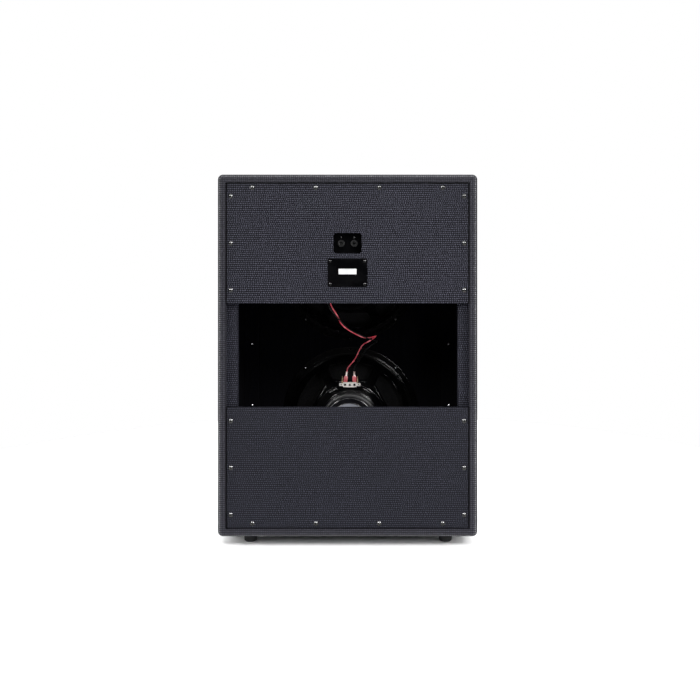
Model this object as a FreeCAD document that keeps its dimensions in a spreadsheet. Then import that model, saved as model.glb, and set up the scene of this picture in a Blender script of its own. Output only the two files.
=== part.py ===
import FreeCAD, Part
import math
import os
import re

import Sketcher
from FreeCAD import Placement, Rotation, Vector

# A tall open-back guitar speaker cabinet with two 12 inch drivers, one above the other.
# The front faces -Y, +Z is up, and the origin is on the floor under the middle of the box.

# Driving dimensions in millimetres, with counts and shares
SIZES = {
    # Box: plywood boards with finger joints, covered in vinyl
    "cabinet_width": 520,
    "cabinet_height": 725,
    "cabinet_depth": 305,
    "board_thickness": 15,
    "vinyl_thickness": 0.5,
    "corner_radius": 10,
    "edge_radius": 8,
    "finger_count": 11,
    "cut_overrun": 5,
    # Back panels and the cleats that carry them
    "panel_height": 241,
    "panel_board": 12,
    "panel_recess": 3,
    "panel_clearance": 1.2,
    "panel_edge_radius": 0.8,
    "panel_screw_inset": 9,
    "panel_row_pitch": 127,
    "panel_side_pitch": 94,
    "rear_cleat_width": 22,
    "rear_cleat_depth": 20,
    # Pan-head wood screws
    "screw_head_radius": 4.2,
    "screw_head_height": 2.4,
    "screw_shank_radius": 2,
    "screw_length": 26,
    "screw_clearance": 0.15,
    "head_crown_share": 0.6,
    "head_side_share": 0.35,
    # Small pan-head screws of the plates
    "small_head_radius": 2.6,
    "small_head_height": 1.2,
    "small_shank_radius": 1.2,
    "small_screw_length": 8,
    # Jack plate behind its cut-out
    "jack_cutout_width": 56.5,
    "jack_cutout_height": 40.5,
    "jack_cutout_radius": 5,
    "jack_plate_margin": 11,
    "jack_plate_thickness": 1.5,
    "jack_plate_radius": 4,
    "jack_screw_inset": 5.5,
    "jack_pitch": 26,
    # Closed jacks with a bush, a bore for a quarter inch plug and two push-on tabs
    "jack_body_width": 20,
    "jack_body_height": 24,
    "jack_body_depth": 26,
    "jack_body_radius": 2,
    "jack_bush_radius": 4.6,
    "jack_bush_length": 6.5,
    "jack_bore_radius": 3.3,
    "jack_bore_depth": 30,
    "jack_tab_pitch": 12,
    "jack_nut_thickness": 2.4,
    "jack_nut_flats": 12,
    "jack_washer_radius": 7,
    "jack_washer_thickness": 1,
    "thread_clearance": 0.15,
    # Push-on tabs and the crimp terminals on them
    "tab_width": 4.8,
    "tab_thickness": 0.8,
    "tab_length": 8,
    "tab_clearance": 0.1,
    "crimp_width": 8.6,
    "crimp_thickness": 4.6,
    "crimp_length": 13,
    "crimp_radius": 1.5,
    "crimp_standoff": 1,
    "barrel_radius": 2.3,
    "barrel_length": 10,
    # Rating plate
    "plate_width": 79,
    "plate_height": 56,
    "plate_thickness": 1,
    "plate_radius": 3,
    "plate_drop": 59,
    "plate_screw_inset": 5,
    # Rubber feet
    "foot_height": 19.5,
    "foot_radius": 14.5,
    "foot_tip_radius": 13,
    "foot_edge": 2,
    "foot_bore_radius": 6,
    "foot_bore_depth": 10,
    "foot_pitch": 398,
    "foot_inset": 42,
    "foot_head_radius": 4.8,
    "foot_head_height": 3,
    "foot_shank_radius": 2.2,
    "foot_screw_length": 22,
    # Baffle board and its cleats
    "baffle_thickness": 15,
    "baffle_clearance": 0.3,
    "baffle_hole_radius": 141.5,
    "baffle_cleat_width": 34,
    "baffle_cross_width": 24,
    "baffle_cleat_depth": 18,
    "baffle_screw_pitch": 142,
    "baffle_screw_count": 5,
    "driver_spacing": 325,
    # Grille
    "grille_recess": 5,
    "grille_clearance": 1,
    "grille_frame_thickness": 12,
    "grille_frame_width": 26,
    "grille_bar_height": 22,
    "grille_window_radius": 10,
    "grille_pad_size": 24,
    "grille_pad_thickness": 2.4,
    "cloth_thickness": 0.6,
    "piping_radius": 2.2,
    "piping_corner_radius": 8,
    # Recessed side handles
    "handle_width": 150,
    "handle_height": 105,
    "handle_radius": 14,
    "handle_flange": 3,
    "handle_flange_edge": 1.2,
    "handle_rise": 545,
    "handle_screw_inset": 9,
    "cup_width": 122,
    "cup_height": 78,
    "cup_depth": 42,
    "cup_radius": 10,
    "cup_wall": 2.6,
    "cup_clearance": 0.8,
    "grip_width": 108,
    "grip_height": 48,
    "grip_drop": 9,
    "grip_radius": 12,
    # Driver frame, pressed from sheet steel; depths run back from the front of its flange
    "flange_radius": 155,
    "seat_radius": 141,
    "seat_depth": 5,
    "rim_radius": 134,
    "rim_depth": 14,
    "shelf_radius": 79,
    "shelf_depth": 74,
    "hub_radius": 62,
    "hub_depth": 84,
    "hub_hole_radius": 31,
    "steel_thickness": 1.6,
    "slope_share": 0.7,
    "shelf_corner_share": 0.45,
    "spoke_count": 6,
    "spoke_width": 20,
    "window_inner_radius": 95,
    "window_outer_radius": 124,
    "window_radius": 8,
    "window_bend_share": 0.3,
    "lip_width": 3,
    "lip_height": 2.4,
    "flange_edge": 0.8,
    "spoke_pad_radius": 73,
    "spoke_pad_width": 19,
    "spoke_pad_length": 4.5,
    "spoke_pad_height": 3,
    "spoke_pad_corner": 1,
    # Driver bolts, tee nuts and gasket
    "bolt_circle_radius": 149.5,
    "bolt_hole_count": 8,
    "bolt_hole_radius": 2.8,
    "bolt_head_radius": 4.4,
    "bolt_head_height": 3,
    "bolt_radius": 2.4,
    "bolt_length": 17,
    "tee_radius": 7.2,
    "tee_thickness": 1.4,
    "tee_barrel_radius": 3.6,
    "tee_barrel_length": 9,
    "gasket_thickness": 3,
    "gasket_inner_radius": 143,
    "gasket_inset": 0.5,
    # Motor: top plate, ring magnet, back plate with its pole
    "top_plate_radius": 58,
    "top_plate_thickness": 7,
    "gap_radius": 26,
    "magnet_radius": 62,
    "magnet_hole_radius": 34,
    "magnet_thickness": 18,
    "magnet_edge": 2,
    "back_plate_radius": 56.5,
    "back_plate_thickness": 8,
    "back_plate_edge": 2.5,
    "back_step_radius": 43.5,
    "back_step": 1.5,
    "pole_radius": 23.4,
    "pole_overhang": 1,
    # Moving parts: cone, dust cap, voice coil, and the surround and spider that hold them
    "cone_radius": 126,
    "cone_mouth_depth": 6.3,
    "cone_neck_depth": 66,
    "cone_thickness": 1.2,
    "cone_curve_radius": 420,
    "cap_radius": 29,
    "cap_height": 10,
    "cap_thickness": 1,
    "cap_seat_depth": 61,
    "former_radius": 24.5,
    "former_thickness": 0.5,
    "former_length": 32,
    "winding_thickness": 0.8,
    "winding_length": 11,
    "surround_thickness": 0.8,
    "surround_overlap": 3,
    "surround_land_rise": 1.2,
    "surround_lip": 1,
    "surround_roll": 2.2,
    "surround_roll_count": 3,
    "spider_thickness": 0.8,
    "spider_radius": 72,
    "spider_flat": 6,
    "spider_roll": 2,
    "spider_roll_count": 6,
    # Terminal board on the frame, and the tinsel leads from it to the cone
    "terminal_width": 47,
    "terminal_height": 11,
    "terminal_strip_width": 30,
    "terminal_corner": 0.8,
    "terminal_hole_radius": 2,
    "ear_height": 6,
    "ear_hole_radius": 1.6,
    "ear_hole_inset": 4.2,
    "terminal_thickness": 2.2,
    "terminal_rise": 78,
    "terminal_pitch": 20,
    "tinsel_radius": 0.8,
    "tinsel_pitch": 34,
    # Wires between the jacks and the drivers
    "wire_radius": 1.3,
}

TINY = 1e-6
DOC = FreeCAD.newDocument("speaker_cabinet")
SHEET = DOC.addObject("Spreadsheet::Sheet", "Sizes")
ALIAS = re.compile(r"\b(" + "|".join(sorted(SIZES, key=len, reverse=True)) + r")\b")
NODES = []

# Turns that point a piece's own +Z along another axis
TO_BACK = Rotation(Vector(1, 0, 0), -90)
TO_FRONT = Rotation(Vector(1, 0, 0), 90)
TO_RIGHT = Rotation(Vector(0, 1, 0), 90)
TO_LEFT = Rotation(Vector(0, 1, 0), -90)
UPRIGHT = Rotation()

# Places worked out from the sizes
TOP_Z = "(foot_height + cabinet_height)"
MID_Z = "(foot_height + cabinet_height / 2)"
FRONT_Y = "(-cabinet_depth / 2)"
REAR_Y = "(cabinet_depth / 2)"
WALL = "(vinyl_thickness + board_thickness)"
INNER_X = f"(cabinet_width / 2 - {WALL})"
INNER_LOW = f"(foot_height + {WALL})"
INNER_HIGH = f"({TOP_Z} - {WALL})"
CLEAR_X = f"({INNER_X} - vinyl_thickness)"
CLEAR_LOW = f"({INNER_LOW} + vinyl_thickness)"
CLEAR_HIGH = f"({INNER_HIGH} - vinyl_thickness)"
WOOD_Y = ("-(cabinet_depth / 2 - vinyl_thickness)", "cabinet_depth / 2 - vinyl_thickness")
FINGER = "((cabinet_depth - 2 * vinyl_thickness) / finger_count)"
CLOTH_Y = f"({FRONT_Y} + grille_recess)"
GRILLE_Y = f"({CLOTH_Y} + cloth_thickness)"
PAD_Y = f"({GRILLE_Y} + grille_frame_thickness)"
BAFFLE_Y = f"({PAD_Y} + grille_pad_thickness)"
BAFFLE_BACK_Y = f"({BAFFLE_Y} + baffle_thickness)"
FLANGE_Y = f"({BAFFLE_BACK_Y} + gasket_thickness)"
PANEL_FACE_Y = f"({REAR_Y} - panel_recess)"
PANEL_INNER_Y = f"({PANEL_FACE_Y} - vinyl_thickness - panel_board)"
PANEL_X = f"({CLEAR_X} - panel_clearance)"
UPPER_PANEL = (f"({CLEAR_HIGH} - panel_clearance - panel_height)", f"({CLEAR_HIGH} - panel_clearance)")
LOWER_PANEL = (f"({CLEAR_LOW} + panel_clearance)", f"({CLEAR_LOW} + panel_clearance + panel_height)")
JACK_Z = f"({UPPER_PANEL[0]} + panel_height / 2)"
JACK_PLATE_Y = f"({PANEL_INNER_Y} - jack_plate_thickness)"
HUB_BACK = "(hub_depth + steel_thickness)"
MAGNET_FRONT = f"({HUB_BACK} + top_plate_thickness)"
MAGNET_BACK = f"({MAGNET_FRONT} + magnet_thickness)"
DRIVER_Z = {"lower": f"({MID_Z} - driver_spacing / 2)", "upper": f"({MID_Z} + driver_spacing / 2)"}
TERMINAL_FACE = "(shelf_depth + steel_thickness + terminal_thickness)"
CRIMP_REACH = "(crimp_standoff + crimp_length + barrel_length)"


# Sheet and expressions

def fill_sheet():
    for row, (alias, value) in enumerate(SIZES.items(), 1):
        SHEET.set(f"A{row}", alias)
        SHEET.set(f"B{row}", str(value))
        SHEET.setAlias(f"B{row}", alias)
    DOC.recompute()


def cells(expression):
    """The expression with each size written as a cell of the sheet."""
    return ALIAS.sub(r"Sizes.\1", expression)


def number(expression):
    return float(SHEET.evalExpression(expression))


def bind(thing, prop, expression):
    thing.setExpression(prop, cells(expression))


def span(middle, length):
    """The low and high ends of a length about its middle."""
    return f"({middle} - {length} / 2)", f"({middle} + {length} / 2)"


def node(thing, label):
    thing.Label = label
    NODES.append(thing)
    return thing


def place(thing, x="0", y="0", z="0", turn=UPRIGHT, prop="Placement"):
    setattr(thing, prop, Placement(Vector(), turn))
    for axis, expression in zip("xyz", (x, y, z)):
        bind(thing, f"{prop}.Base.{axis}", expression)
    return thing


# Primitives and booleans

def box(name, x, y, z):
    """A block between low and high ends along each axis."""
    block = DOC.addObject("Part::Box", name)
    for prop, (low, high) in (("Length", x), ("Width", y), ("Height", z)):
        bind(block, prop, f"({high}) - ({low})")
    return place(block, x[0], y[0], z[0])


def cylinder(name, radius, height):
    rod = DOC.addObject("Part::Cylinder", name)
    bind(rod, "Radius", radius)
    bind(rod, "Height", height)
    return rod


def cut(name, base, *tools):
    for step, tool in enumerate(tools, 1):
        result = DOC.addObject("Part::Cut", f"{name}_cut_{step}")
        result.Base = base
        result.Tool = tool
        base = result
    return base


def fuse(name, *things):
    result = DOC.addObject("Part::MultiFuse", name)
    result.Shapes = list(things)
    return result


def common(name, base, tool):
    result = DOC.addObject("Part::Common", name)
    result.Base = base
    result.Tool = tool
    return result


def group(name, things):
    result = DOC.addObject("Part::Compound", name)
    result.Links = list(things)
    return result


def scatter(name, master, places):
    """Copies of one piece, each at three expressions and a turn, as one group."""
    copies = []
    for index, (x, y, z, turn) in enumerate(places, 1):
        copy = DOC.addObject("App::Link", f"{name}_{index}")
        copy.LinkedObject = master
        copies.append(place(copy, x, y, z, turn, "LinkPlacement"))
    return group(name, copies)


# Bodies and their sketches

def new_body(name):
    return DOC.addObject("PartDesign::Body", name)


def new_sketch(body, role, name):
    sketch = body.newObject("Sketcher::SketchObject", f"{body.Name}_{name}")
    plane = next(feature for feature in body.Origin.OriginFeatures if feature.Role == role)
    sketch.AttachmentSupport = [(plane, "")]
    sketch.MapMode = "FlatFace"
    return sketch


def hold(sketch, constraint, expression):
    index = sketch.addConstraint(constraint)
    bind(sketch, f"Constraints[{index}]", expression)


def pin(sketch, shape, point, x, y):
    hold(sketch, Sketcher.Constraint("DistanceX", -1, 1, shape, point, number(x)), x)
    hold(sketch, Sketcher.Constraint("DistanceY", -1, 1, shape, point, number(y)), y)


def flat(point):
    return Vector(number(point[0]), number(point[1]), 0)


def bulge(start, end, radius):
    """An arc from start to end; its centre is on the left for a positive radius."""
    chord = end - start
    left = Vector(-chord.y, chord.x, 0).normalize() * math.copysign(1, radius)
    reach = math.sqrt(radius ** 2 - (chord.Length / 2) ** 2)
    middle = (start + end) / 2 + left * (reach - abs(radius))
    return Part.Arc(start, middle, end)


def outline(sketch, points):
    """A closed outline; a point's third entry makes the stretch after it an arc of that radius."""
    count = len(points)
    first = sketch.GeometryCount
    ends = []
    for index, point in enumerate(points):
        start = flat(point)
        end = flat(points[(index + 1) % count])
        if len(point) == 2:
            sketch.addGeometry(Part.LineSegment(start, end))
            ends.append((1, 2))
            continue
        radius = number(point[2])
        sketch.addGeometry(bulge(start, end, radius))
        ends.append((1, 2) if radius > 0 else (2, 1))
        hold(sketch, Sketcher.Constraint("Radius", first + index, abs(radius)), f"abs({point[2]})")
    for index, point in enumerate(points):
        after = (index + 1) % count
        sketch.addConstraint(
            Sketcher.Constraint("Coincident", first + index, ends[index][1], first + after, ends[after][0]))
        pin(sketch, first + index, ends[index][0], point[0], point[1])


def circle(sketch, radius, x="0", y="0"):
    index = sketch.addGeometry(Part.Circle(flat((x, y)), Vector(0, 0, 1), number(radius)))
    pin(sketch, index, 3, x, y)
    hold(sketch, Sketcher.Constraint("Radius", index, number(radius)), radius)


def rounded(sketch, corners, radius):
    """A closed outline of straight sides whose corners are rounded alike."""
    count = len(corners)
    spots = [flat(corner) for corner in corners]
    size = number(radius)
    first = sketch.GeometryCount
    sides = []
    for index in range(count):
        here = spots[index]
        back = (spots[index - 1] - here).normalize()
        ahead = (spots[(index + 1) % count] - here).normalize()
        half = back.getAngle(ahead) / 2
        setback = size / math.tan(half)
        centre = here + (back + ahead).normalize() * (size / math.sin(half))
        middle = centre + (here - centre).normalize() * size
        sides.append((here + back * setback, middle, here + ahead * setback))
    for start, middle, end in sides:
        sketch.addGeometry(Part.Arc(start, middle, end))
    for index in range(count):
        sketch.addGeometry(Part.LineSegment(sides[index][2], sides[(index + 1) % count][0]))
    for index, corner in enumerate(corners):
        arc = first + index
        after = first + count + index
        before = first + count + (index - 1) % count
        spot = sketch.addGeometry(Part.Point(spots[index]), True)
        pin(sketch, spot, 1, corner[0], corner[1])
        sketch.addConstraint([
            Sketcher.Constraint("PointOnObject", spot, 1, before),
            Sketcher.Constraint("PointOnObject", spot, 1, after),
            Sketcher.Constraint("Tangent", before, 2, arc, 1),
            Sketcher.Constraint("Tangent", arc, 2, after, 1)])
        hold(sketch, Sketcher.Constraint("Radius", arc, size), radius)


def rectangle(x, y):
    """Corners of a rectangle between low and high ends, anticlockwise."""
    return [(x[0], y[0]), (x[1], y[0]), (x[1], y[1]), (x[0], y[1])]


def pad(body, sketch, length, symmetric=False, reverse=False):
    feature = body.newObject("PartDesign::Pad", f"{sketch.Name}_pad")
    feature.Profile = sketch
    feature.Midplane = symmetric
    feature.Reversed = reverse
    bind(feature, "Length", length)
    return feature


def pocket(body, sketch, depth=None, reverse=False):
    """A cut to a depth, or right through both ways where no depth is given."""
    feature = body.newObject("PartDesign::Pocket", f"{sketch.Name}_pocket")
    feature.Profile = sketch
    feature.Reversed = reverse
    if depth is None:
        feature.Type = "ThroughAll"
        feature.Midplane = True
    else:
        bind(feature, "Length", depth)
    return feature


def around(body, feature, count):
    pattern = body.newObject("PartDesign::PolarPattern", f"{feature.Name}_pattern")
    pattern.Originals = [feature]
    pattern.Axis = (feature.Profile[0], ["N_Axis"])
    pattern.Angle = 360
    bind(pattern, "Occurrences", count)
    body.Tip = pattern
    return pattern


def along(body, feature, length, count):
    pattern = body.newObject("PartDesign::LinearPattern", f"{feature.Name}_pattern")
    pattern.Originals = [feature]
    pattern.Direction = (feature.Profile[0], ["H_Axis"])
    bind(pattern, "Length", length)
    bind(pattern, "Occurrences", count)
    body.Tip = pattern
    return pattern


def round_edges(body, feature, radius, keep):
    """Round the feature's edges that pass the test."""
    DOC.recompute()
    names = [f"Edge{index}" for index, edge in enumerate(feature.Shape.Edges, 1) if keep(edge)]
    fillet = body.newObject("PartDesign::Fillet", f"{feature.Name}_round")
    fillet.Base = (feature, names)
    bind(fillet, "Radius", radius)
    return fillet


def lies_at(axis, *levels):
    """A test for edges that lie wholly at one of the levels along an axis."""
    wanted = [number(level) for level in levels]
    return lambda edge: any(
        all(abs(getattr(vertex, axis) - level) < TINY for vertex in edge.Vertexes)
        and abs(getattr(edge.CenterOfMass, axis.lower()) - level) < TINY
        for level in wanted)


def turned(name, profile):
    """A body of revolution about its own Z, from radius and height."""
    body = new_body(name)
    sketch = new_sketch(body, "XZ_Plane", "profile")
    outline(sketch, profile)
    revolution = body.newObject("PartDesign::Revolution", f"{name}_turn")
    revolution.Profile = sketch
    revolution.ReferenceAxis = (sketch, ["V_Axis"])
    revolution.Angle = 360
    return body


def plate(name, corners, radius, thickness):
    """A flat plate with rounded corners, its thickness along its own +Z."""
    body = new_body(name)
    sketch = new_sketch(body, "XY_Plane", "outline")
    rounded(sketch, corners, radius)
    pad(body, sketch, thickness)
    return body


def ring(name, inner, outer, thickness):
    return turned(name, [(inner, "0"), (outer, "0"), (outer, thickness), (inner, thickness)])


# Fasteners: each has its seat at its own zero and its shank along +Z

def pan_screw(name, head_radius, head_height, shank_radius, length):
    crown = f"{head_radius} * head_crown_share"
    side = f"-{head_height} * head_side_share"
    return turned(name, [
        ("0", f"-{head_height}"), (crown, f"-{head_height}"), (head_radius, side), (head_radius, "0"),
        (shank_radius, "0"), (shank_radius, f"{length} - {shank_radius}"), ("0", length)])


def drill(name, shank_radius, length):
    """The hole for a screw, a little wider and deeper than its shank."""
    return cylinder(name, f"{shank_radius} + screw_clearance", f"{length} + screw_clearance")


# Box

def envelope(name, inset):
    """The rounded outside of the box, set in by the inset."""
    body = new_body(name)
    sketch = new_sketch(body, "XZ_Plane", "outline")
    x = (f"-(cabinet_width / 2 - {inset})", f"cabinet_width / 2 - {inset}")
    z = (f"foot_height + {inset}", f"{TOP_Z} - {inset}")
    rounded(sketch, rectangle(x, z), f"corner_radius - {inset}")
    block = pad(body, sketch, f"cabinet_depth - 2 * {inset}", symmetric=True)
    half = f"cabinet_depth / 2 - {inset}"
    round_edges(body, block, f"edge_radius - {inset}", lies_at("Y", half, f"-({half})"))
    return body


def fingered(name, role, x, y, slot_rows, first_slot, slot_count):
    """A board with slots for the fingers of its neighbours at two opposite ends."""
    body = new_body(name)
    sketch = new_sketch(body, role, "outline")
    outline(sketch, rectangle(x, y))
    pad(body, sketch, "board_thickness")
    slots = new_sketch(body, role, "slots")
    start = f"{x[0]} + {first_slot} * {FINGER}"
    for row in slot_rows:
        outline(slots, rectangle((start, f"{start} + {FINGER}"), row))
    along(body, pocket(body, slots), f"2 * {FINGER} * ({slot_count} - 1)", slot_count)
    return body


def side_panel(name, x, shape, tools):
    low, high = "foot_height + vinyl_thickness", f"{TOP_Z} - vinyl_thickness"
    rows = ((f"{low} - cut_overrun", INNER_LOW), (INNER_HIGH, f"{high} + cut_overrun"))
    board = fingered(f"{name}_board", "YZ_Plane", WOOD_Y, (low, high), rows, "1", "(finger_count - 1) / 2")
    place(board, x)
    node(cut(name, common(f"{name}_shaped", board, shape), *tools), name)


def flat_panel(name, z, shape, tools):
    wide = "(cabinet_width / 2 - vinyl_thickness)"
    rows = ((f"-{wide} - cut_overrun", f"-{INNER_X}"), (INNER_X, f"{wide} + cut_overrun"))
    across = (f"-{wide}", wide)
    board = fingered(f"{name}_board", "XY_Plane", WOOD_Y, across, rows, "0", "(finger_count + 1) / 2")
    place(board, z=z, turn=Rotation(Vector(0, 0, 1), 90))
    shaped = common(f"{name}_shaped", board, shape)
    node(cut(name, shaped, *tools) if tools else shaped, name)


def vinyl_covering(wood, tools):
    """The skin over the boards, folded in at the front and the rear."""
    outside = envelope("vinyl_outside", "0")
    through = (f"{FRONT_Y} - cut_overrun", f"{REAR_Y} + cut_overrun")
    inner_x = (f"-{INNER_X}", INNER_X)
    inner_z = (INNER_LOW, INNER_HIGH)
    boards = cut("vinyl_boards", wood, box("board_opening", inner_x, through, inner_z))
    mouth = box("vinyl_mouth", (f"-{CLEAR_X}", CLEAR_X), through, (CLEAR_LOW, CLEAR_HIGH))
    bare = box("bare_inside", inner_x, (BAFFLE_Y, PANEL_INNER_Y), inner_z)
    node(cut("vinyl_covering", outside, boards, mouth, bare, *tools), "vinyl_covering")


# Back panels

def panel_screw_places():
    places = []
    row = [f"panel_row_pitch * {step} / 2" for step in (-3, -1, 1, 3)]
    side = f"({PANEL_X} - panel_screw_inset)"
    for low, high, edge in ((*UPPER_PANEL, f"{UPPER_PANEL[1]} - panel_screw_inset"),
                            (*LOWER_PANEL, f"{LOWER_PANEL[0]} + panel_screw_inset")):
        places += [(x, PANEL_FACE_Y, edge, TO_FRONT) for x in row]
        for step in (-1, 0, 1):
            z = f"({low} + {high}) / 2 + panel_side_pitch * {step}"
            places += [(x, PANEL_FACE_Y, z, TO_FRONT) for x in (f"-{side}", side)]
    return places


def back_panel_block(name, z, inset):
    """A back panel's block, set in all round and at its face, with softened rear edges."""
    body = new_body(name)
    sketch = new_sketch(body, "XZ_Plane", "outline")
    outline(sketch, rectangle(
        (f"-({PANEL_X} - {inset})", f"{PANEL_X} - {inset}"), (f"{z[0]} + {inset}", f"{z[1]} - {inset}")))
    thickness = f"panel_board + vinyl_thickness - {inset}"
    block = pad(body, sketch, thickness, reverse=True)
    round_edges(body, block, f"panel_edge_radius - {inset}", lies_at("Y", thickness))
    return place(body, y=PANEL_INNER_Y)


def back_panel(name, z, tools):
    board = back_panel_block(f"{name}_board", z, "vinyl_thickness")
    skin = back_panel_block(f"{name}_skin", z, "0")
    node(cut(name, board, *tools), name)
    vinyl = name.replace("_back", "") + "_vinyl"
    node(cut(vinyl, skin, board, *tools), vinyl)


def cleats(name, width, cross_width, y, tools):
    """Four strips glued inside the box: two uprights, and two cross strips between them."""
    inside = f"({INNER_X} - {width})"
    tall = (INNER_LOW, INNER_HIGH)
    strips = group(f"{name}_strips", [
        box(f"{name}_left", (f"-{INNER_X}", f"-{inside}"), y, tall),
        box(f"{name}_right", (inside, INNER_X), y, tall),
        box(f"{name}_top", (f"-{inside}", inside), y, (f"{INNER_HIGH} - {cross_width}", INNER_HIGH)),
        box(f"{name}_bottom", (f"-{inside}", inside), y, (INNER_LOW, f"{INNER_LOW} + {cross_width}"))])
    node(cut(name, strips, *tools), name)


# Jack plate and rating plate

def corner_places(width, height, inset, y, z, turn):
    x = f"({width} / 2 - {inset})"
    rise = f"({height} / 2 - {inset})"
    return [(f"{sx} * {x}", y, f"{z} + {sz} * {rise}", turn) for sx in (-1, 1) for sz in (-1, 1)]


def jack_cutout():
    body = plate("jack_cutout", rectangle(span("0", "jack_cutout_width"), span("0", "jack_cutout_height")),
                 "jack_cutout_radius", "panel_board + 2 * cut_overrun")
    return place(body, y=f"{PANEL_INNER_Y} - cut_overrun", z=JACK_Z, turn=TO_BACK)


JACK_PLATE_WIDTH = "(jack_cutout_width + 2 * jack_plate_margin)"
JACK_PLATE_HEIGHT = "(jack_cutout_height + 2 * jack_plate_margin)"


def jack_plate_screw_places():
    return corner_places(
        JACK_PLATE_WIDTH, JACK_PLATE_HEIGHT, "jack_screw_inset", JACK_PLATE_Y, JACK_Z, TO_BACK)


def jack_plate(tools):
    body = plate("jack_plate_blank", rectangle(span("0", JACK_PLATE_WIDTH), span("0", JACK_PLATE_HEIGHT)),
                 "jack_plate_radius", "jack_plate_thickness")
    holes = new_sketch(body, "XY_Plane", "holes")
    for side in (-1, 1):
        circle(holes, "jack_bush_radius + thread_clearance", f"{side} * jack_pitch / 2")
    pocket(body, holes)
    place(body, y=JACK_PLATE_Y, z=JACK_Z, turn=TO_BACK)
    node(cut("jack_plate", body, *tools), "jack_plate")


def jack(name, x):
    """A closed jack: its body behind the plate, its bush through it, and two tabs at the back."""
    body = new_body(f"{name}_housing")
    sketch = new_sketch(body, "XY_Plane", "outline")
    corners = rectangle(span("0", "jack_body_width"), span("0", "jack_body_height"))
    rounded(sketch, corners, "jack_body_radius")
    pad(body, sketch, "jack_body_depth", reverse=True)
    bush = new_sketch(body, "XY_Plane", "bush")
    circle(bush, "jack_bush_radius")
    pad(body, bush, "jack_bush_length")
    bore = new_sketch(body, "XY_Plane", "bore")
    circle(bore, "jack_bore_radius")
    pocket(body, bore, "jack_bore_depth - jack_bush_length")
    mouth = new_sketch(body, "XY_Plane", "mouth")
    circle(mouth, "jack_bore_radius")
    pocket(body, mouth, "jack_bush_length", reverse=True)
    place(body, x, JACK_PLATE_Y, JACK_Z, TO_BACK)
    back = f"({JACK_PLATE_Y} - jack_body_depth)"
    tabs = [box(f"{name}_tab_{side}", span(x, "tab_width"), (f"{back} - tab_length", back),
                span(f"({JACK_Z} {sign} jack_tab_pitch / 2)", "tab_thickness"))
            for side, sign in (("upper", "+"), ("lower", "-"))]
    node(fuse(f"{name}_whole", body, *tabs), name)


def jack_nuts():
    """A six-sided nut with its washer, on each jack's bush."""
    body = turned("jack_nut", [
        ("jack_bush_radius + thread_clearance", "0"), ("jack_washer_radius", "0"),
        ("jack_washer_radius", "jack_washer_thickness"),
        ("jack_bush_radius + thread_clearance", "jack_washer_thickness")])
    sketch = new_sketch(body, "XY_Plane", "flats")
    corner = "(jack_nut_flats / sqrt(3))"
    outline(sketch, [(f"{corner} * cos({60 * step})", f"{corner} * sin({60 * step})") for step in range(6)])
    circle(sketch, "jack_bush_radius + thread_clearance")
    pad(body, sketch, "jack_washer_thickness + jack_nut_thickness")
    seat = f"{JACK_PLATE_Y} + jack_plate_thickness"
    node(scatter("jack_nut_pair", body, [
        (f"{side} * jack_pitch / 2", seat, JACK_Z, TO_BACK) for side in (-1, 1)]), "jack_nuts")


def rating_plate(tools):
    body = plate("rating_blank", rectangle(span("0", "plate_width"), span("0", "plate_height")),
                 "plate_radius", "plate_thickness")
    z = f"({JACK_Z} - plate_drop)"
    place(body, y=PANEL_FACE_Y, z=z, turn=TO_BACK)
    node(cut("rating_plate", body, *tools), "rating_plate")


# Feet

def foot_places(z):
    y = "(cabinet_depth / 2 - foot_inset)"
    return [(f"{sx} * foot_pitch / 2", f"{sy} * {y}", z, UPRIGHT) for sx in (-1, 1) for sy in (-1, 1)]


def rubber_feet():
    shank = "foot_shank_radius + screw_clearance"
    foot = turned("foot", [
        ("foot_bore_radius", "0"), ("foot_tip_radius - foot_edge", "0"), ("foot_tip_radius", "foot_edge"),
        ("foot_radius", "foot_height"), (shank, "foot_height"), (shank, "foot_bore_depth"),
        ("foot_bore_radius", "foot_bore_depth")])
    node(scatter("foot_set", foot, foot_places("0")), "rubber_feet")


# Baffle and grille

def baffle_screw_places():
    x = f"({INNER_X} - baffle_cleat_width / 2)"
    y = f"{BAFFLE_BACK_Y} + baffle_cleat_depth"
    middle = (SIZES["baffle_screw_count"] - 1) / 2
    return [(f"{side} * {x}", y, f"{MID_Z} + baffle_screw_pitch * {step - middle}", TO_FRONT)
            for side in (-1, 1) for step in range(SIZES["baffle_screw_count"])]


def bolt_places(y, turn):
    reach = "bolt_circle_radius * cos(45)"
    return [(f"{sx} * {reach}", y, f"{height} + {sz} * {reach}", turn)
            for height in DRIVER_Z.values() for sx in (-1, 1) for sz in (-1, 1)]


def baffle_board(tools):
    body = new_body("baffle_blank")
    sketch = new_sketch(body, "XZ_Plane", "outline")
    outline(sketch, rectangle(
        (f"-({INNER_X} - baffle_clearance)", f"{INNER_X} - baffle_clearance"),
        (f"{INNER_LOW} + baffle_clearance", f"{INNER_HIGH} - baffle_clearance")))
    pad(body, sketch, "baffle_thickness", reverse=True)
    holes = new_sketch(body, "XZ_Plane", "driver_holes")
    for height in DRIVER_Z.values():
        circle(holes, "baffle_hole_radius", "0", height)
    pocket(body, holes)
    place(body, y=BAFFLE_Y)
    node(cut("baffle_board", body, *tools), "baffle_board")


GRILLE_X = f"({CLEAR_X} - grille_clearance - cloth_thickness)"
GRILLE_LOW = f"({CLEAR_LOW} + grille_clearance + cloth_thickness)"
GRILLE_HIGH = f"({CLEAR_HIGH} - grille_clearance - cloth_thickness)"


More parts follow.
